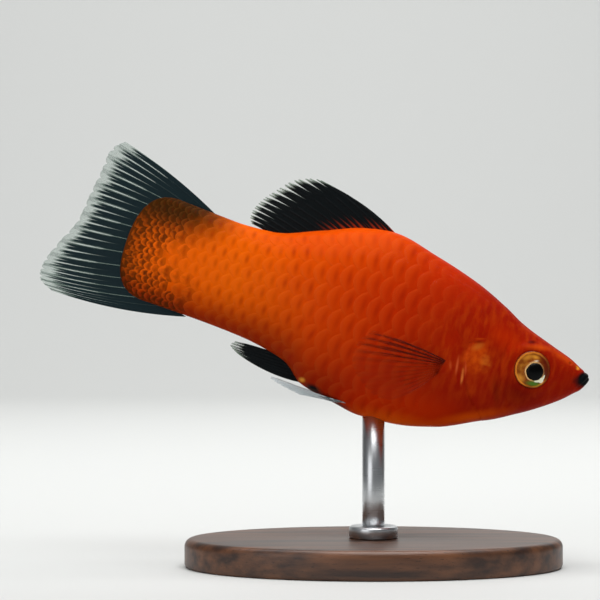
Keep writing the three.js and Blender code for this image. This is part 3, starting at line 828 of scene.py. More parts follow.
def makeScales(tree, plate, skinPiece, material):
    for name, side in sides.items():
        at, angle, pitch, width, chance, swell = scaleSeats(side).T
        step = 0.05
        ahead = skinPoint(np.maximum(at - step, 0), angle)
        rearward = unit(skinPoint(np.minimum(at + step, body["length"]), angle) - ahead)
        middle = skinPoint(at, angle) + rearward * (1 - scales["overlap"]) / 2 * pitch[:, None]
        size = np.stack([pitch, width, 0 * pitch + 1], -1)
        size[:, 1] *= 1 + scales["widthVaries"] * (swell - 0.5)
        size[:, :2] *= millimetre
        share = scales["shoulderShare"]
        attributes = {
            "rearward": rearward @ tipDown.T,
            "outward": skinNormal(at, angle) @ tipDown.T,
            "size": size,
            "chance": chance,
            "proud": pitch / pitch.max() * (share + (1 - share) * ease(*scales["shoulder"], at)),
            "seat": np.stack([(angle / (2 * math.pi)) % 1, at / body["length"], 0 * at], -1),
        }
        seed = makePiece(f"seats_{name}", toFrame(middle), [], None, attributes)
        values = {
            "Plate": plate,
            "Skin": skinPiece,
            "Length": scales["overlap"],
            "Width": scales["wide"],
            "Lift": millimetre,
            "Material": material,
        }
        piece = growPiece(f"scales_{name}", seed, tree, values)
        stored = piece.data.attributes
        places = []
        for key in ("seat", "local"):
            numbers = np.zeros(len(piece.data.vertices) * 3, np.float32)
            stored[key].data.foreach_get("vector", numbers)
            places.append(numbers.reshape(-1, 3)[:, :2])
        storeBakeMap(piece.data, places[0] + (places[1] + 0.5) * scales["bakePatch"])
        for key in ("seat", "size", "rearward", "outward", "rise", "proud"):
            if key in stored:
                stored.remove(stored[key])
        finishPiece(piece, "fish_skin")
        print("  ", name, len(at), "scales,", len(piece.data.polygons), "faces")


print("fins")
finForm = {  # what the fins share, unless one says otherwise
    "perRay": 8,
    "rootAt": 0.0,  # where the fin starts along its rays, 1 is the margin
    "rayEnd": 0.99,
    "raySteps": 14,
    "raySides": 6,
    "forks": (0.5,),
    "spread": 0.2,  # of the first fork, in ray spacings
    "settle": 0.14,  # how far along the ray it takes
    "branch": 0.72,  # a branch's share of its ray's thickness
    "taper": 0.35,
    "taperTo": 1.1,
    "share": [(0, 0), (1, 1)],  # how far along its base and along its margin a ray stands
    "waves": (1.6, 0.35),  # ripples along the base and along the rays
    "wavesGrow": 1.5,
    "notchFrom": 0.5,
    "forkNotch": 0.35,
    "thinFrom": 0.6,
    "marginThin": 0.55,  # how much thinner the skin is at the margin and between rays
    "valleyThin": 0.4,
}
caudal = {
    **finForm,
    "rays": 14,
    "perRay": 12,
    "rows": 44,
    "forks": (0.42, 0.68),
    "spread": 0.07,
    "rayRadius": 0.045,
    "half": 0.02,
    "notch": 0.02,
    "ripple": 0.12,
    "bow": (0.3, -0.45),
    "share": [(0, 0), (0.45, 0.54), (0.66, 0.81), (1, 1)],
    "roots": [
        (36.2, 4.75), (39.2, 4.2), (40.9, 2.2), (41.6, -0.6), (41, -2.6), (39, -3.9), (36.4, -4.75),
    ],
    "tips": [
        (46.2, 8.95), (47.2, 8.0), (47.55, 5.7), (47.95, 3.4), (48.4, 0.75), (49.55, -1.6),
        (50.35, -3.75), (50.2, -5.15), (48.9, -5.9),
    ],
}
dorsal = {
    **finForm,
    "rays": 13,
    "perRay": 12,
    "rows": 36,
    "rootAt": -0.04,
    "forks": (0.62,),
    "rayRadius": 0.1,
    "half": 0.06,
    "notch": 0.09,
    "ripple": 0.1,
    "bow": (0.45, 0.08),
    "share": [(0, 0), (0.54, 0.67), (1, 1)],
    "roots": [(19.7, 7.3), (23.5, 6.6), (26, 5.8), (28.5, 4.9), (30.9, 4.4)],
    "tips": [
        (27, 10.15), (28.4, 10.45), (29.6, 10.2), (30.7, 9.65), (31.75, 8.55), (32.85, 7.2),
        (33.35, 6.0), (33.3, 5.3), (33.0, 4.9),
    ],
}
anal = {
    **finForm,
    "rays": 8,
    "perRay": 10,
    "rows": 26,
    "rootAt": -0.04,
    "rayRadius": 0.07,
    "half": 0.05,
    "notch": 0.05,
    "ripple": 0.06,
    "bow": (-0.35, 0.1),
    "roots": [(24.3, -7.5), (26.4, -5.7)],
    "tips": [(30.5, -6.8), (31.3, -6.5), (31.9, -6.05), (31.5, -5.6)],
}
pelvic = {  # a third number is the distance from the fish's middle
    **finForm,
    "rays": 6,
    "rows": 22,
    "spread": 0.25,
    "rayRadius": 0.055,
    "half": 0.045,
    "notch": 0.06,
    "ripple": 0.03,
    "bow": (-0.1, 0.05),
    "roots": [(20.2, -8.1, 1.35), (20.9, -8.35, 0.45)],
    "tips": [(26.6, -7.85, 1.7), (27.6, -7.85, 1.35), (26.4, -8.25, 1.0), (24.6, -8.6, 0.8)],
}
pectoral = {
    **finForm,
    "rays": 12,
    "rows": 30,
    "forks": (0.45,),
    "rayRadius": 0.055,
    "half": 0.035,
    "notch": 0.04,
    "ripple": 0.08,
    "rootSunk": 0.1,
    "flare": 2.3,  # how far the margin stands off the body
    "flareBend": 2.5,
    "bow": (0.25, -0.3),
    "roots": [(13.1, -1.95), (13.5, -3.3)],
    "tips": [
        (20.1, -1.2), (20.8, -1.95), (21.25, -3.0), (21.2, -4.15), (20.6, -5.15),
        (19.5, -6.05), (18.1, -6.7), (16.9, -6.6),
    ],
}
finFinish = {"Roughness": 0.45, "IOR": 1.4, "Specular IOR Level": 0.12}
blackLook = {
    "ink": "#0A0F11",
    "clear": "#A9B5A6",
    "ray": "#8C9C8C",
    "inkAlpha": 0.98,
    "clearAlpha": 0.13,
    "rayAlpha": 0.75,
    "inkEnd": 0.96,  # how far along the rays the ink reaches, and how much that varies
    "uneven": 0.05,
    "spikes": 4.0,  # the ragged ends of the ink, for each ray, and how softly they end
    "fade": 0.1,
    # per ray, shift, where it opens, half its width there and at the margin
    "slits": [(1, 0.5, 0.46, -0.08, 0.14)],
    "slitEdge": 0.08,
    "ragged": 0.12,
    "laterAtFront": 0.3,  # how much farther out the slits open at the fin's front
    "specklePerMm": 3.0,
    "speckle": (0.35, 0.5),
    "thinnest": 1.0,
    "fadeAcross": (-2.0, -1.0),
    "paleMiddle": 0.5,  # the stretch along the base where the rays are pale
    "paleReach": -0.1,
    "rayInkEnd": 0.93,
    "raySoft": 0.05,
}
caudalLook = {
    **blackLook,
    "ink": "#122226",
    "clear": "#93A79B",
    "clearAlpha": 0.3,
    "ray": "#6C7F76",
    "rayAlpha": 0.6,
    "inkEnd": 0.9,
    "uneven": 0.08,
    "slits": [
        (1, 0.0, 0.05, -0.05, 0.05), (1, 0.5, 0.12, -0.08, 0.05), (2, 0.0, 0.6, -0.12, 0.11),
    ],
    "slitEdge": 0.06,
    "laterAtFront": 0.0,
    "paleReach": 0.36,
    "rayInkEnd": 0.8,
}
dorsalLook = {
    **blackLook,
    "rootTint": "#D2420C",
    "rootStreaks": 1.6,  # for each ray
    "rootTo": (0.36, 0.12),  # how far out the longest and the shortest streak reach
    "rootFull": -0.06,
    "rootAcross": (0.62, 0.4),
}
analLook = {
    **blackLook,
    "inkEnd": 0.88,
    "slits": [(1, 0.5, 0.7, -0.1, 0.2)],
    "laterAtFront": 0.0,
}
pelvicLook = {
    **blackLook,
    "ink": "#1E2A30",
    "clear": "#BFD2DA",
    "ray": "#E6EEF0",
    "clearAlpha": 0.16,
    "inkAlpha": 0.8,
    "rayAlpha": 0.5,
    "inkEnd": 0.3,
    "uneven": 0.2,
    "slits": [],
    "thinnest": 0.0,
    "paleReach": 0.7,
}
pectoralLook = {
    **blackLook,
    "ink": "#4E0F05",
    "clear": "#7A1E08",
    "ray": "#5A1206",
    "clearAlpha": 0.06,
    "inkAlpha": 0.42,
    "rayAlpha": 0.1,
    "slits": [(1, 0.5, 0.0, 0.18, 0.36)],
    "thinnest": 0.45,
    "fadeAcross": (0.5, 0.12),
    "paleMiddle": 0.78,
    "paleReach": 0.5,
    "rayInkEnd": 0.7,
}


def smoothCurve(points, count=400):
    # A centripetal curve through the points, sampled evenly along its length.
    points = np.array([(-p[0], p[2] if len(p) > 2 else 0.0, p[1]) for p in points], float)
    points = np.vstack([2 * points[0] - points[1], points, 2 * points[-1] - points[-2]])
    t = np.linspace(0, 1, 40)[:, None]
    places = []
    for i in range(1, len(points) - 2):
        p0, p1, p2, p3 = points[i - 1 : i + 3]
        d0, d1, d2 = (math.sqrt(np.linalg.norm(b - a)) for a, b in ((p0, p1), (p1, p2), (p2, p3)))
        m1 = ((p1 - p0) / d0 - (p2 - p0) / (d0 + d1) + (p2 - p1) / d1) * d1
        m2 = ((p2 - p1) / d1 - (p3 - p1) / (d1 + d2) + (p3 - p2) / d2) * d1
        bend, turn = 3 * (p2 - p1) - 2 * m1 - m2, 2 * (p1 - p2) + m1 + m2
        places.append(p1 + m1 * t + bend * t**2 + turn * t**3)
    places = np.vstack(places)
    run = np.concatenate([[0], np.cumsum(np.linalg.norm(np.diff(places, axis=0), axis=1))])
    even = np.linspace(0, run[-1], count)
    return np.stack([np.interp(even, run, places[:, k]) for k in range(3)], -1)


def finPlaces(fin):
    # Returns a function for the fin's middle surface, u along the base and v along the rays.
    roots, tips = smoothCurve(fin["roots"]), smoothCurve(fin["tips"])
    grid = np.linspace(0, 1, len(roots))
    share = profile(fin["share"])
    (bowFront, bowRear), (waveAcross, waveAlong) = fin["bow"], fin["waves"]

    def places(u, v):
        u = np.clip(u, 0, 1)
        out = share(u)
        root = np.stack([np.interp(u, grid, roots[:, k]) for k in range(3)], -1)
        tip = np.stack([np.interp(out, grid, tips[:, k]) for k in range(3)], -1)
        way = tip - root
        aside = unit(np.stack([way[..., 2], 0 * u, -way[..., 0]], -1))
        arch = (bowFront + (bowRear - bowFront) * u) * 4 * v * (1 - v)
        point = root + way * v[..., None] + aside * arch[..., None]
        bend = 1 - (1 - np.clip(v, 0, 1)) ** fin.get("flareBend", 1)
        point[..., 1] += fin.get("flareTo", 0) * bend + tailShift(-point[..., 0])
        wave = np.sin(2 * math.pi * (waveAcross * u + waveAlong * v))
        point[..., 1] += fin["ripple"] * wave * np.maximum(v, 0) ** fin["wavesGrow"]
        return point

    return places


def facing(places, u, v):
    step = 0.006
    across = places(np.clip(u + step, 0, 1), v) - places(np.clip(u - step, 0, 1), v)
    along = places(u, v + step) - places(u, v - step)
    return unit(np.cross(across, along))


def rayForks(fin):
    # Each ray as runs of (u, v) with its radius: it forks into two, and they may fork again.
    runs = []
    pitch = 1 / fin["rays"]
    ends = (*fin["forks"], fin["rayEnd"])
    for ray in range(fin["rays"]):
        middle = (ray + 0.5) * pitch
        branches = [(0.0, 0.0)]
        start = fin["rootAt"]
        for level, end in enumerate(ends):
            grown = []
            for offset, before in branches:
                v = np.linspace(start, end, fin["raySteps"])
                settled = ease(start, start + fin["settle"], v) if level else np.ones_like(v)
                u = middle + pitch * (before + (offset - before) * settled)
                thin = fin["taper"] * ease(start, fin["taperTo"], v) * (end == ends[-1])
                runs.append((u, v, fin["rayRadius"] * fin["branch"] ** level * (1 - thin)))
                spread = fin["spread"] / 2**level
                grown += [(offset - spread, offset), (offset + spread, offset)]
            branches, start = grown, end
    return runs


def makeRayTree():
    # Draws a round tube along each line, as thick as the line says.
    tree, given = newGeometryTree(
        "growRays", {"Thickness": "Float", "Sides": "Int", "Material": "Material"}
    )
    line = addNode(tree, "GeometryNodeMeshToCurve", [given["Geometry"]])
    ring = addNode(tree, "GeometryNodeCurvePrimitiveCircle", [given["Sides"], 1.0], mode="RADIUS")
    thick = addNode(tree, "GeometryNodeInputNamedAttribute", ["thick"], data_type="FLOAT")
    thick = addNode(tree, "ShaderNodeMath", [thick, given["Thickness"]], operation="MULTIPLY")
    tube = addNode(tree, "GeometryNodeCurveToMesh", [line, ring, thick, True])
    tube = addNode(tree, "GeometryNodeRealizeInstances", [tube])
    return finishGeometryTree(tree, tube, given["Material"])


def makeRays(name, fin, tree, material, slot):
    runs = rayForks(fin)
    u, v, thick = (np.concatenate(part) for part in zip(*runs))
    steps = fin["raySteps"]
    edges = [(k, k + 1) for k in range(len(u)) if (k + 1) % steps]
    attributes = {"finAcross": u, "finAlong": v, "thick": thick}
    seed = makePiece(name + "_lines", toFrame(finPlaces(fin)(u, v)), [], None, attributes, edges)
    values = {"Thickness": millimetre, "Sides": fin["raySides"], "Material": material}
    finishPiece(growPiece(name, seed, tree, values), slot)


def makeMembrane(name, fin, material, slot, node):
    # A closed thin sheet, thicker along the rays, with a notch between ray tips.
    places, rays, rows = finPlaces(fin), fin["rays"], fin["rows"]
    columns = rays * fin["perRay"] + 1
    v, u = np.meshgrid(np.linspace(fin["rootAt"], 1, rows), np.linspace(0, 1, columns), indexing="ij")
    inRay = (u * rays) % 1
    valley = 1 - np.sin(math.pi * inRay)
    fork = 1 - np.abs(np.sin(2 * math.pi * inRay))
    inside = ease(0, 0.5 / rays, u) * ease(1, 1 - 0.5 / rays, u)
    notch = fin["notch"] * inside * (valley**2 + fin["forkNotch"] * fork**2)
    v = v * (1 - notch * ease(fin["notchFrom"], 1, v))
    thin = 1 - fin["marginThin"] * ease(fin["thinFrom"], 1, v)
    half = fin["half"] * thin * (1 - fin["valleyThin"] * valley)
    off = facing(places, u, v) * half[..., None]
    points = np.vstack([(places(u, v) + way * off).reshape(-1, 3) for way in (1, -1)])
    count, border = rows * columns, gridBorder(rows, columns)
    faces = gridFaces(rows, columns) + gridFaces(rows, columns, start=count, flip=True)
    for edge, after in zip(border, border[1:] + border[:1]):
        faces.append((after, edge, edge + count, after + count))
    attributes = {"finAcross": np.tile(u.ravel(), 2), "finAlong": np.tile(v.ravel(), 2)}
    finishPiece(makePiece(name, toFrame(points), faces, material, attributes), slot, node)


def finCoordinates(tree):
    return (
        addNode(tree, "ShaderNodeAttribute", out="Fac", attribute_name=key)
        for key in ("finAcross", "finAlong")
    )


def makeFinMaterial(name, look, rays):
    # A clear fin skin, inked but for slits that open towards the margin.
    material, tree = newMaterial(name)
    across, along = finCoordinates(tree)
    straight = {"interpolation_type": "LINEAR"}
    spike = addNode(tree, "ShaderNodeMath", [across, look["spikes"] * rays], operation="MULTIPLY")
    spike = addNode(tree, "ShaderNodeMath", [spike], operation="FLOOR")
    draw = addNode(tree, "ShaderNodeTexWhiteNoise", [spike], noise_dimensions="1D")
    inputs = [draw, look["uneven"], look["inkEnd"]]
    reach = addNode(tree, "ShaderNodeMath", inputs, operation="MULTIPLY_ADD")
    start = addNode(tree, "ShaderNodeMath", [reach, look["fade"]], operation="SUBTRACT")
    pigment = addNode(tree, "ShaderNodeMapRange", [along, reach, start])
    inputs = [across, 0.0, 1.0, look["laterAtFront"], 0.0]
    later = addNode(tree, "ShaderNodeMapRange", inputs, **straight)
    inputs = [draw, look["ragged"], later]
    later = addNode(tree, "ShaderNodeMath", inputs, operation="MULTIPLY_ADD")
    for perRay, shift, opens, narrow, wide in look["slits"]:
        opens = addNode(tree, "ShaderNodeMath", [later, opens], operation="ADD")
        half = addNode(tree, "ShaderNodeMapRange", [along, opens, 1.0, narrow, wide], **straight)
        outer = addNode(tree, "ShaderNodeMath", [half, look["slitEdge"]], operation="ADD")
        aside = across
        for operation, *others in (
            ("MULTIPLY_ADD", float(perRay * rays), shift),
            ("FRACT",),
            ("SUBTRACT", 0.5),
            ("ABSOLUTE",),
        ):
            aside = addNode(tree, "ShaderNodeMath", [aside, *others], operation=operation)
        dark = addNode(tree, "ShaderNodeMapRange", [aside, half, outer])
        pigment = addNode(tree, "ShaderNodeMath", [pigment, dark], operation="MULTIPLY")
    place, _ = fishPlace(tree)
    speckle = addNode(tree, "ShaderNodeTexNoise", [place, look["specklePerMm"], 4.0])
    inputs = [speckle, *look["speckle"], look["thinnest"], 1.0]
    thinned = addNode(tree, "ShaderNodeMapRange", inputs, **straight)
    kept = addNode(tree, "ShaderNodeMapRange", [across, *look["fadeAcross"]])
    for mask in (thinned, kept):
        pigment = addNode(tree, "ShaderNodeMath", [pigment, mask], operation="MULTIPLY")
    colour = addNode(tree, "ShaderNodeMix", [pigment, look["clear"], look["ink"]])
    if "rootTint" in look:
        inputs = [across, look["rootStreaks"] * rays]
        streak = addNode(tree, "ShaderNodeMath", inputs, operation="MULTIPLY")
        streak = addNode(tree, "ShaderNodeMath", [streak, 0.5], operation="PINGPONG")
        inputs = [streak, 0.0, 0.5, *look["rootTo"]]
        top = addNode(tree, "ShaderNodeMapRange", inputs, **straight)
        low = addNode(tree, "ShaderNodeMapRange", [along, top, look["rootFull"]])
        front = addNode(tree, "ShaderNodeMapRange", [across, *look["rootAcross"]])
        root = addNode(tree, "ShaderNodeMath", [low, front], operation="MULTIPLY")
        colour = addNode(tree, "ShaderNodeMix", [root, colour, look["rootTint"]])
    inputs = [pigment, 0.0, 1.0, look["clearAlpha"], look["inkAlpha"]]
    alpha = addNode(tree, "ShaderNodeMapRange", inputs, **straight)
    finishMaterial(tree, {**finFinish, "Base Color": colour, "Alpha": alpha})
    return material


def makeRayMaterial(name, look):
    # Horny fin rays, clear and pale, or inked like the skin between them along the fin's edges.
    material, tree = newMaterial(name)
    across, along = finCoordinates(tree)
    off = addNode(tree, "ShaderNodeMath", [across, look["paleMiddle"]], operation="SUBTRACT")
    off = addNode(tree, "ShaderNodeMath", [off], operation="ABSOLUTE")
    pale, end, soft = look["paleReach"], look["rayInkEnd"], look["raySoft"]
    edges = addNode(tree, "ShaderNodeMapRange", [off, pale - soft, pale + soft])
    inked = addNode(tree, "ShaderNodeMapRange", [along, end + soft, end - soft])
    inked = addNode(tree, "ShaderNodeMath", [inked, edges], operation="MULTIPLY")
    colour = addNode(tree, "ShaderNodeMix", [inked, look["ray"], look["ink"]])
    inputs = [inked, 0.0, 1.0, look["rayAlpha"], 1.0]
    alpha = addNode(tree, "ShaderNodeMapRange", inputs, interpolation_type="LINEAR")
    finishMaterial(tree, {**finFinish, "Base Color": colour, "Alpha": alpha})
    return material


def onSide(fin, side):
    # Mirrors a paired fin. One without distances from the middle stands on the flank.
    foot = fin["roots"][0]
    distance = float(flankAt(foot[0], foot[1])) - fin.get("rootSunk", 0)
    moved = {**fin, "flareTo": side * fin.get("flare", 0)}
    for key in ("roots", "tips"):
        moved[key] = [(p[0], p[1], side * (p[2] if len(p) > 2 else distance)) for p in fin[key]]
    return moved


def makeFins():
    kinds = {
        "caudal": (caudal, caudalLook, "black_fin"),
        "dorsal": (dorsal, dorsalLook, "black_fin"),
        "anal": (anal, analLook, "black_fin"),
        "pelvic": (pelvic, pelvicLook, "pale_fin"),
        "pectoral": (pectoral, pectoralLook, "red_fin"),
    }
    tree = makeRayTree()
    painted = {}
    for kind, (fin, look, _) in kinds.items():
        painted[kind] = (
            makeFinMaterial(kind + "FinSkin", look, fin["rays"]),
            makeRayMaterial(kind + "FinRay", look),
        )
    single = [(kind, "") for kind in ("caudal", "dorsal", "anal")]
    for kind, side in single + [(kind, side) for side in sides for kind in ("pelvic", "pectoral")]:
        fin, _, slot = kinds[kind]
        ending = "_" + side if side else ""
        fin = onSide(fin, sides[side]) if side else fin
        makeMembrane(f"{kind}{ending}_membrane", fin, painted[kind][0], slot, f"{kind}_fin{ending}")
        makeRays(f"{kind}{ending}_rays", fin, tree, painted[kind][1], slot)
        print("  ", kind, side)


print("eyes")
iris = {
    "sides": 96,
    "look": (0.21, -0.12),  # how far ahead of the middle of the eye, and above it, the pupil sits
    "lookFrom": (1.5, 0.8),  # over which radii the front of the ball moves there
    "profile": [  # (radius, distance out of the skin), from the back of the ball to its front
        (0, -1.5), (0.9, -1.35), (1.42, -0.87), (1.63, -0.4), (1.66, -0.06), (1.62, 0.03),
        (1.55, 0.07), (1.48, 0.04), (1.4, 0.04), (1.15, 0.12), (0.95, 0.19), (0.9, 0.24),
        (0.83, 0.24), (0.79, 0.2), (0.75, 0.3), (0.56, 0.41), (0.3, 0.48), (0, 0.5),
    ],
    "smoothing": 4,
    "cloudScale": 2.2,
    "cloud": (0.4, 0.65),
    "wander": 0.16,  # how far the rings' edges wander
    "pupilEdge": (0.76, 0.8),
    "rings": [  # (radius, colour) from the middle out; the last, dark red, is painted shade where the ball goes into its socket
        (0.0, "#020202"), (0.775, "#020202"), (0.8, "#F4C684"), (0.84, "#F4C684"),
        (0.92, "#7E3C0C"), (1.4, "#7E3C0C"), (1.48, "#DC8228"), (1.55, "#DC8228"), (1.63, "#5E0E04"),
    ],
    "marks": [  # as on the fish, at (forward, up) from the middle of the eye
        ("irisRed", (0.9, 0.9), (1.2, 1.0), -30, 1.0, 1.0, "iris"),
        ("irisRed", (1.5, 0.1), (0.75, 1.5), 0, 0.8, 0.95, "iris"),
        ("irisRed", (-0.9, 0.3), (0.5, 0.9), 0, 1.0, 0.7, "cloud"),
        ("irisRed", (0.3, -1.6), (1.3, 0.4), 0, 1.0, 0.8, "iris"),
        ("irisRed", (1.02, 0.2), (0.34, 0.55), 0, 1.0, 0.7, "iris"),
        ("gold", (-0.3, 0.0), (1.5, 1.5), 0, 0.5, 0.4, "cloud"),
        ("gold", (-0.05, 1.15), (0.6, 0.3), 0, 1.0, 0.8, "iris"),
        ("gold", (-0.75, 0.95), (0.6, 0.35), 40, 1.0, 0.6, "iris"),
        ("gold", (-0.85, -1.0), (0.65, 0.4), -40, 1.0, 0.85, "iris"),
        ("irisGreen", (0.42, -1.16), (0.95, 0.36), 8, 0.8, 0.9, "iris"),
        # painted highlights: a faint one above the pupil, and a bright triangle below and in front of it
        ("glint", (0.1, 0.84), (0.35, 0.12), 20, 1.0, 0.45, "iris"),
        ("glint", (1.14, -0.46), (0.13, 0.36), -8, 0.3, 1.0, "iris"),
        ("glint", (1.0, -0.7), (0.28, 0.28), 0, 0.3, 1.0, "iris"),
        ("glint", (0.74, -0.85), (0.42, 0.12), 18, 0.3, 1.0, "iris"),
    ],
}
glassFinish = {
    "Roughness": 0.3,
    "IOR": 1.38,
    "Specular IOR Level": 0.1,
    "Coat Weight": 0.06,
    "Coat Roughness": 0.04,
}


def turnedPoints(pairs, count):
    # Rings of points turned round the third axis, from a list of (radius, height).
    turn = 2 * math.pi * np.arange(count) / count
    return np.array([[(r * math.cos(a), r * math.sin(a), h) for a in turn] for r, h in pairs])


def turnedFaces(rings, count):
    faces = gridFaces(rings, count, closed=True)
    return faces + [tuple(range(count))[::-1], tuple(range((rings - 1) * count, rings * count))]


def makeEyeMaterial():
    # Glass eye: gold iris with a thin silver ring round a black pupil, painted highlights and painted
    # shade at its outer edge, under a clear dome.
    material, tree = newMaterial("glassEye")
    radius = addNode(tree, "ShaderNodeAttribute", out="Fac", attribute_name="radius")
    place = addNode(tree, "ShaderNodeAttribute", out="Vector", attribute_name="facing")
    cloud = addNode(tree, "ShaderNodeTexNoise", [place, iris["cloudScale"], 4.0])
    far, last = iris["wander"], iris["rings"][-1][0]
    wander = addNode(tree, "ShaderNodeMath", [cloud, far, -far / 2], operation="MULTIPLY_ADD")
    outward = addNode(tree, "ShaderNodeMath", [radius, wander], operation="ADD")
    share = addNode(tree, "ShaderNodeMath", [outward, 1 / last], operation="MULTIPLY")
    stops = [(at / last, colour) for at, colour in iris["rings"]]
    colour = addNode(tree, "ShaderNodeValToRGB", [share], stops=stops)
    beyond = addNode(tree, "ShaderNodeMapRange", [radius, *iris["pupilEdge"]], interpolation_type="LINEAR")
    inputs = [cloud, *iris["cloud"], 0.0, beyond]
    clouded = addNode(tree, "ShaderNodeMapRange", inputs, interpolation_type="LINEAR")
    colour = addMarks(tree, colour, place, iris["marks"], {"iris": beyond, "cloud": clouded})
    finishMaterial(tree, {**glassFinish, "Base Color": colour})
    return material


def makeEyes(material):
    rounded = smoothCurve([(-r, h) for r, h in iris["profile"]], iris["smoothing"] * len(iris["profile"]))
    pairs = [(max(x, 0.0), z) for x, _, z in rounded]
    for name, side in sides.items():
        centre, axes = standOn(eye["behind"], eye["height"], side)
        local = turnedPoints(pairs, iris["sides"]).reshape(-1, 3)
        radius = np.hypot(local[:, 0], local[:, 1])
        moved = ease(*iris["lookFrom"], radius) * (local[:, 2] > 0)
        local[:, :2] += moved[:, None] * [iris["look"][0], -side * iris["look"][1]]
        up = -side * local[:, 1]
        attributes = {"radius": radius, "facing": np.stack([local[:, 0], up, 0 * up], -1)}
        faces = turnedFaces(len(pairs), iris["sides"])
        points = toFrame(local @ axes + centre)
        piece = makePiece(f"eye_ball_{name}", points, faces, material, attributes)
        finishPiece(piece, "eye", f"eye_{name}")


print("stand")
stand = {
    "halfLength": 17.0,
    "halfDepth": 11.0,
    "height": 2.6,
    "round": 0.7,
    "footRound": 0.35,
    "edgeCut": 0.1,
    "topRim": 2.0,
    "boreRim": 0.3,
    "clearance": 0.02,
    "rodRadius": 1.0,
    "rodSunk": 1.6,
    "rodRing": 4.0,
    "rodTop": 14.3,
    "collarOuter": 2.2,
    "collarHeight": 1.1,
    "collarRound": 0.3,
    "collarBore": (0.15, 0.12, 0.01),  # how wide and deep its top is bevelled, and its clearance
    "axis": 0.01,  # radius of the small flat that closes a turned piece
}
woodGrain = {  # per metre along X, Y and Z
    "rings": (60.0, 900.0, 900.0),  # about 1.5 mm apart, drawn out along X
    "pores": (500.0, 9000.0, 9000.0),
}
brushing = (300.0, 300.0, 12000.0)  # lines per metre, close along the rod


def makeWalnutMaterial():
    # Oiled black walnut, turned and sanded fine: brown bands of grain, satin.
    material, tree = newMaterial("oiledWalnut")
    place = addNode(tree, "ShaderNodeTexCoord", out="Object")
    figure, pores = (
        addNode(
            tree,
            "ShaderNodeTexNoise",
            [addNode(tree, "ShaderNodeMapping", {"Vector": place, "Scale": woodGrain[key]}), 1.0, detail],
        )
        for key, detail in (("rings", 5.0), ("pores", 2.0))
    )
    stops = [(0.35, "#2E1A10"), (0.68, "#6B4329")]
    figure = addNode(tree, "ShaderNodeValToRGB", [figure], stops=stops)
    inputs = [pores, 0.36, 0.3, 0.0, 0.7]
    dark = addNode(tree, "ShaderNodeMapRange", inputs, interpolation_type="LINEAR")
    colour = addNode(tree, "ShaderNodeMix", [dark, figure, "#1C100A"])
    relief = addNode(
        tree, "ShaderNodeBump", {"Strength": 0.25, "Distance": 0.05 * millimetre, "Height": pores}
    )
    finishMaterial(tree, {"Base Color": colour, "Roughness": 0.38, "IOR": 1.5, "Normal": relief})
    return material


def makeSteelMaterial():
    # Stainless rod, brushed round its axis in the lathe: fine rings, soft shine.
    material, tree = newMaterial("brushedSteel")
    place = addNode(tree, "ShaderNodeTexCoord", out="Object")
    lines = addNode(tree, "ShaderNodeMapping", {"Vector": place, "Scale": brushing})
    lines = addNode(tree, "ShaderNodeTexNoise", [lines, 1.0, 2.0])
    inputs = [lines, 0.0, 1.0, 0.2, 0.42]
    rough = addNode(tree, "ShaderNodeMapRange", inputs, interpolation_type="LINEAR")
    relief = addNode(
        tree, "ShaderNodeBump", {"Strength": 0.15, "Distance": 0.02 * millimetre, "Height": lines}
    )
    finishMaterial(
        tree, {"Base Color": "#C6C8CA", "Metallic": 1.0, "Roughness": rough, "Normal": relief}
    )
    return material


def makeTurned(name, pairs, material, slot, node, squash=1.0, count=96, hollow=False):
    points = turnedPoints(pairs, count) * [1, squash, 1] * millimetre
    faces = turnedFaces(len(pairs), count)
    if hollow:
        inner = (len(pairs) - 1) * count
        faces[-2:] = [(inner + k, inner + (k + 1) % count, (k + 1) % count, k) for k in range(count)]
    finishPiece(makePiece(name, points.reshape(-1, 3), faces, material), slot, node)


def roundedEdge(radius, height, size, steps=8):
    # Points of a quarter round that ends a turned edge, from its side to its top.
    turn = np.linspace(0, math.pi / 2, steps)
    return [(radius - size + size * math.cos(t), height - size + size * math.sin(t)) for t in turn]


def makeStand():
    walnut, steel = makeWalnutMaterial(), makeSteelMaterial()
    wide, high, axis, cut = (stand[key] for key in ("halfLength", "height", "axis", "edgeCut"))
    low, radius = high - stand["rodSunk"], stand["rodRadius"]
    hole, foot = radius + stand["clearance"], stand["footRound"]
    pairs = [(axis, 0.0), (wide - foot, 0.0), (wide - cut, cut), (wide, foot)]
    pairs += roundedEdge(wide, high, stand["round"])
    pairs += [(wide - stand["topRim"], high), (hole + stand["boreRim"], high), (hole, high - cut)]
    pairs += [(hole, low), (axis, low)]
    squash = stand["halfDepth"] / wide
    makeTurned("base", pairs, walnut, "base_wood", "stand_base", squash, count=160)
    top = stand["rodTop"]
    pairs = [(axis, low), (radius, low), (radius, high + stand["rodRing"]), (radius, top), (axis, top)]
    makeTurned("rod", pairs, steel, "rod_steel", "stand_rod", count=48)
    outer, bottom = stand["collarOuter"], high + stand["clearance"]
    top = bottom + stand["collarHeight"]
    bevel, deep, gap = stand["collarBore"]
    pairs = [(radius + gap, bottom), (outer - cut, bottom), (outer, bottom + cut)]
    pairs += roundedEdge(outer, top, stand["collarRound"])
    pairs += [(radius + bevel, top), (radius + gap, top - deep)]
    makeTurned("collar", pairs, steel, "rod_steel", "stand_collar", count=64, hollow=True)


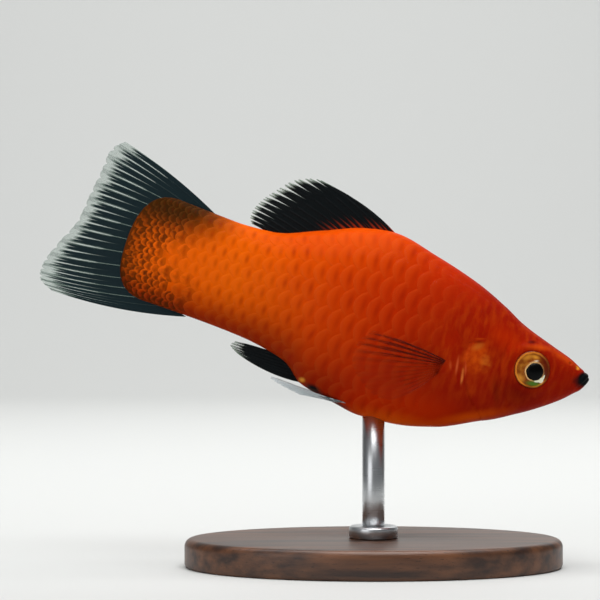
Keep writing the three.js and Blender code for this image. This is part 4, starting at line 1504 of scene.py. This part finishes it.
print("studio")
studio = {
    "aim": (-0.00661, 0.0, 0.02401),  # the middle of the view
    "frameWidth": 0.054,
    "lens": 135.0,
    "sensor": 36.0,
    "clipFrom": 0.01,
    "floor": "#C8C9C7",
    "floorReach": 3.0,
    "sweep": (0.35, 0.25),  # how far behind the fish the floor starts to rise, and its bend
    "air": "#E8ECF0",
    "airStrength": 0.22,
    "lights": [  # place, what it shines at, size, watts
        ((0.02, -0.12, 0.33), (-0.007, 0.0, 0.024), 0.24, 0.92),
        ((-0.22, -0.26, 0.10), (-0.007, 0.0, 0.024), 0.25, 0.28),
        ((0.10, 0.26, 0.22), (-0.007, 0.0, 0.024), 0.20, 0.12),
        ((0.0, 0.1, 0.45), (0.0, 0.6, 0.15), 0.5, 3.0),
    ],
}


def makeFloor():
    # Matt paper that sweeps up behind the fish, with a fine fibre.
    material, tree = newMaterial("paperSweep")
    place = addNode(tree, "ShaderNodeTexCoord", out="Object")
    fibre = addNode(tree, "ShaderNodeTexNoise", [place, 900.0, 2.0])
    relief = addNode(
        tree, "ShaderNodeBump", {"Strength": 0.05, "Distance": 0.1 * millimetre, "Height": fibre}
    )
    finishMaterial(tree, {"Base Color": studio["floor"], "Roughness": 0.85, "Normal": relief})
    reach, (start, bend) = studio["floorReach"], studio["sweep"]
    turn = np.linspace(0, math.pi / 2, 24)
    line = [(-reach, 0.0)] + [(start + bend * math.sin(a), bend * (1 - math.cos(a))) for a in turn]
    line += [(start + bend, reach)]
    points = [(x, y, z) for y, z in line for x in (-reach, reach)]
    makePiece("floor", points, gridFaces(len(line), 2), material)


def makeStudio():
    scene = bpy.context.scene
    scene.view_settings.view_transform = "Standard"
    scene.world = bpy.data.worlds.new("studioAir")
    scene.world.use_nodes = True
    air = scene.world.node_tree.nodes["Background"]
    air.inputs[0].default_value = linear(studio["air"])
    air.inputs[1].default_value = studio["airStrength"]
    makeFloor()
    for i, (place, aim, size, watts) in enumerate(studio["lights"]):
        lamp = bpy.data.lights.new(f"softbox{i}", "AREA")
        lamp.size = size
        lamp.energy = watts
        box = putInScene(lamp.name, lamp)
        box.location = place
        box.rotation_euler = (Vector(aim) - Vector(place)).to_track_quat("-Z", "Y").to_euler()
    camera = bpy.data.cameras.new("camera")
    camera.lens = studio["lens"]
    camera.sensor_width = studio["sensor"]
    camera.clip_start = studio["clipFrom"]
    away = studio["frameWidth"] * camera.lens / camera.sensor_width
    viewer = putInScene("camera", camera)
    viewer.location = Vector(studio["aim"]) + Vector((0, -away, 0))
    viewer.rotation_euler = (math.pi / 2, 0, 0)
    scene.camera = viewer


skinPiece = makeSkin(makeSkinMaterial())
plate = makePlate()
makeScales(makeScaleTree(), plate, skinPiece, makeScaleMaterial())
bpy.data.objects.remove(plate)
fleshNodes = ["head", "trunk", "tail_stalk", "gill_cover_right", "gill_cover_left"]
finishPiece(skinPiece, "fish_skin", *fleshNodes)
makeFins()
makeEyes(makeEyeMaterial())
makeStand()
makeStudio()
print("pieces done")
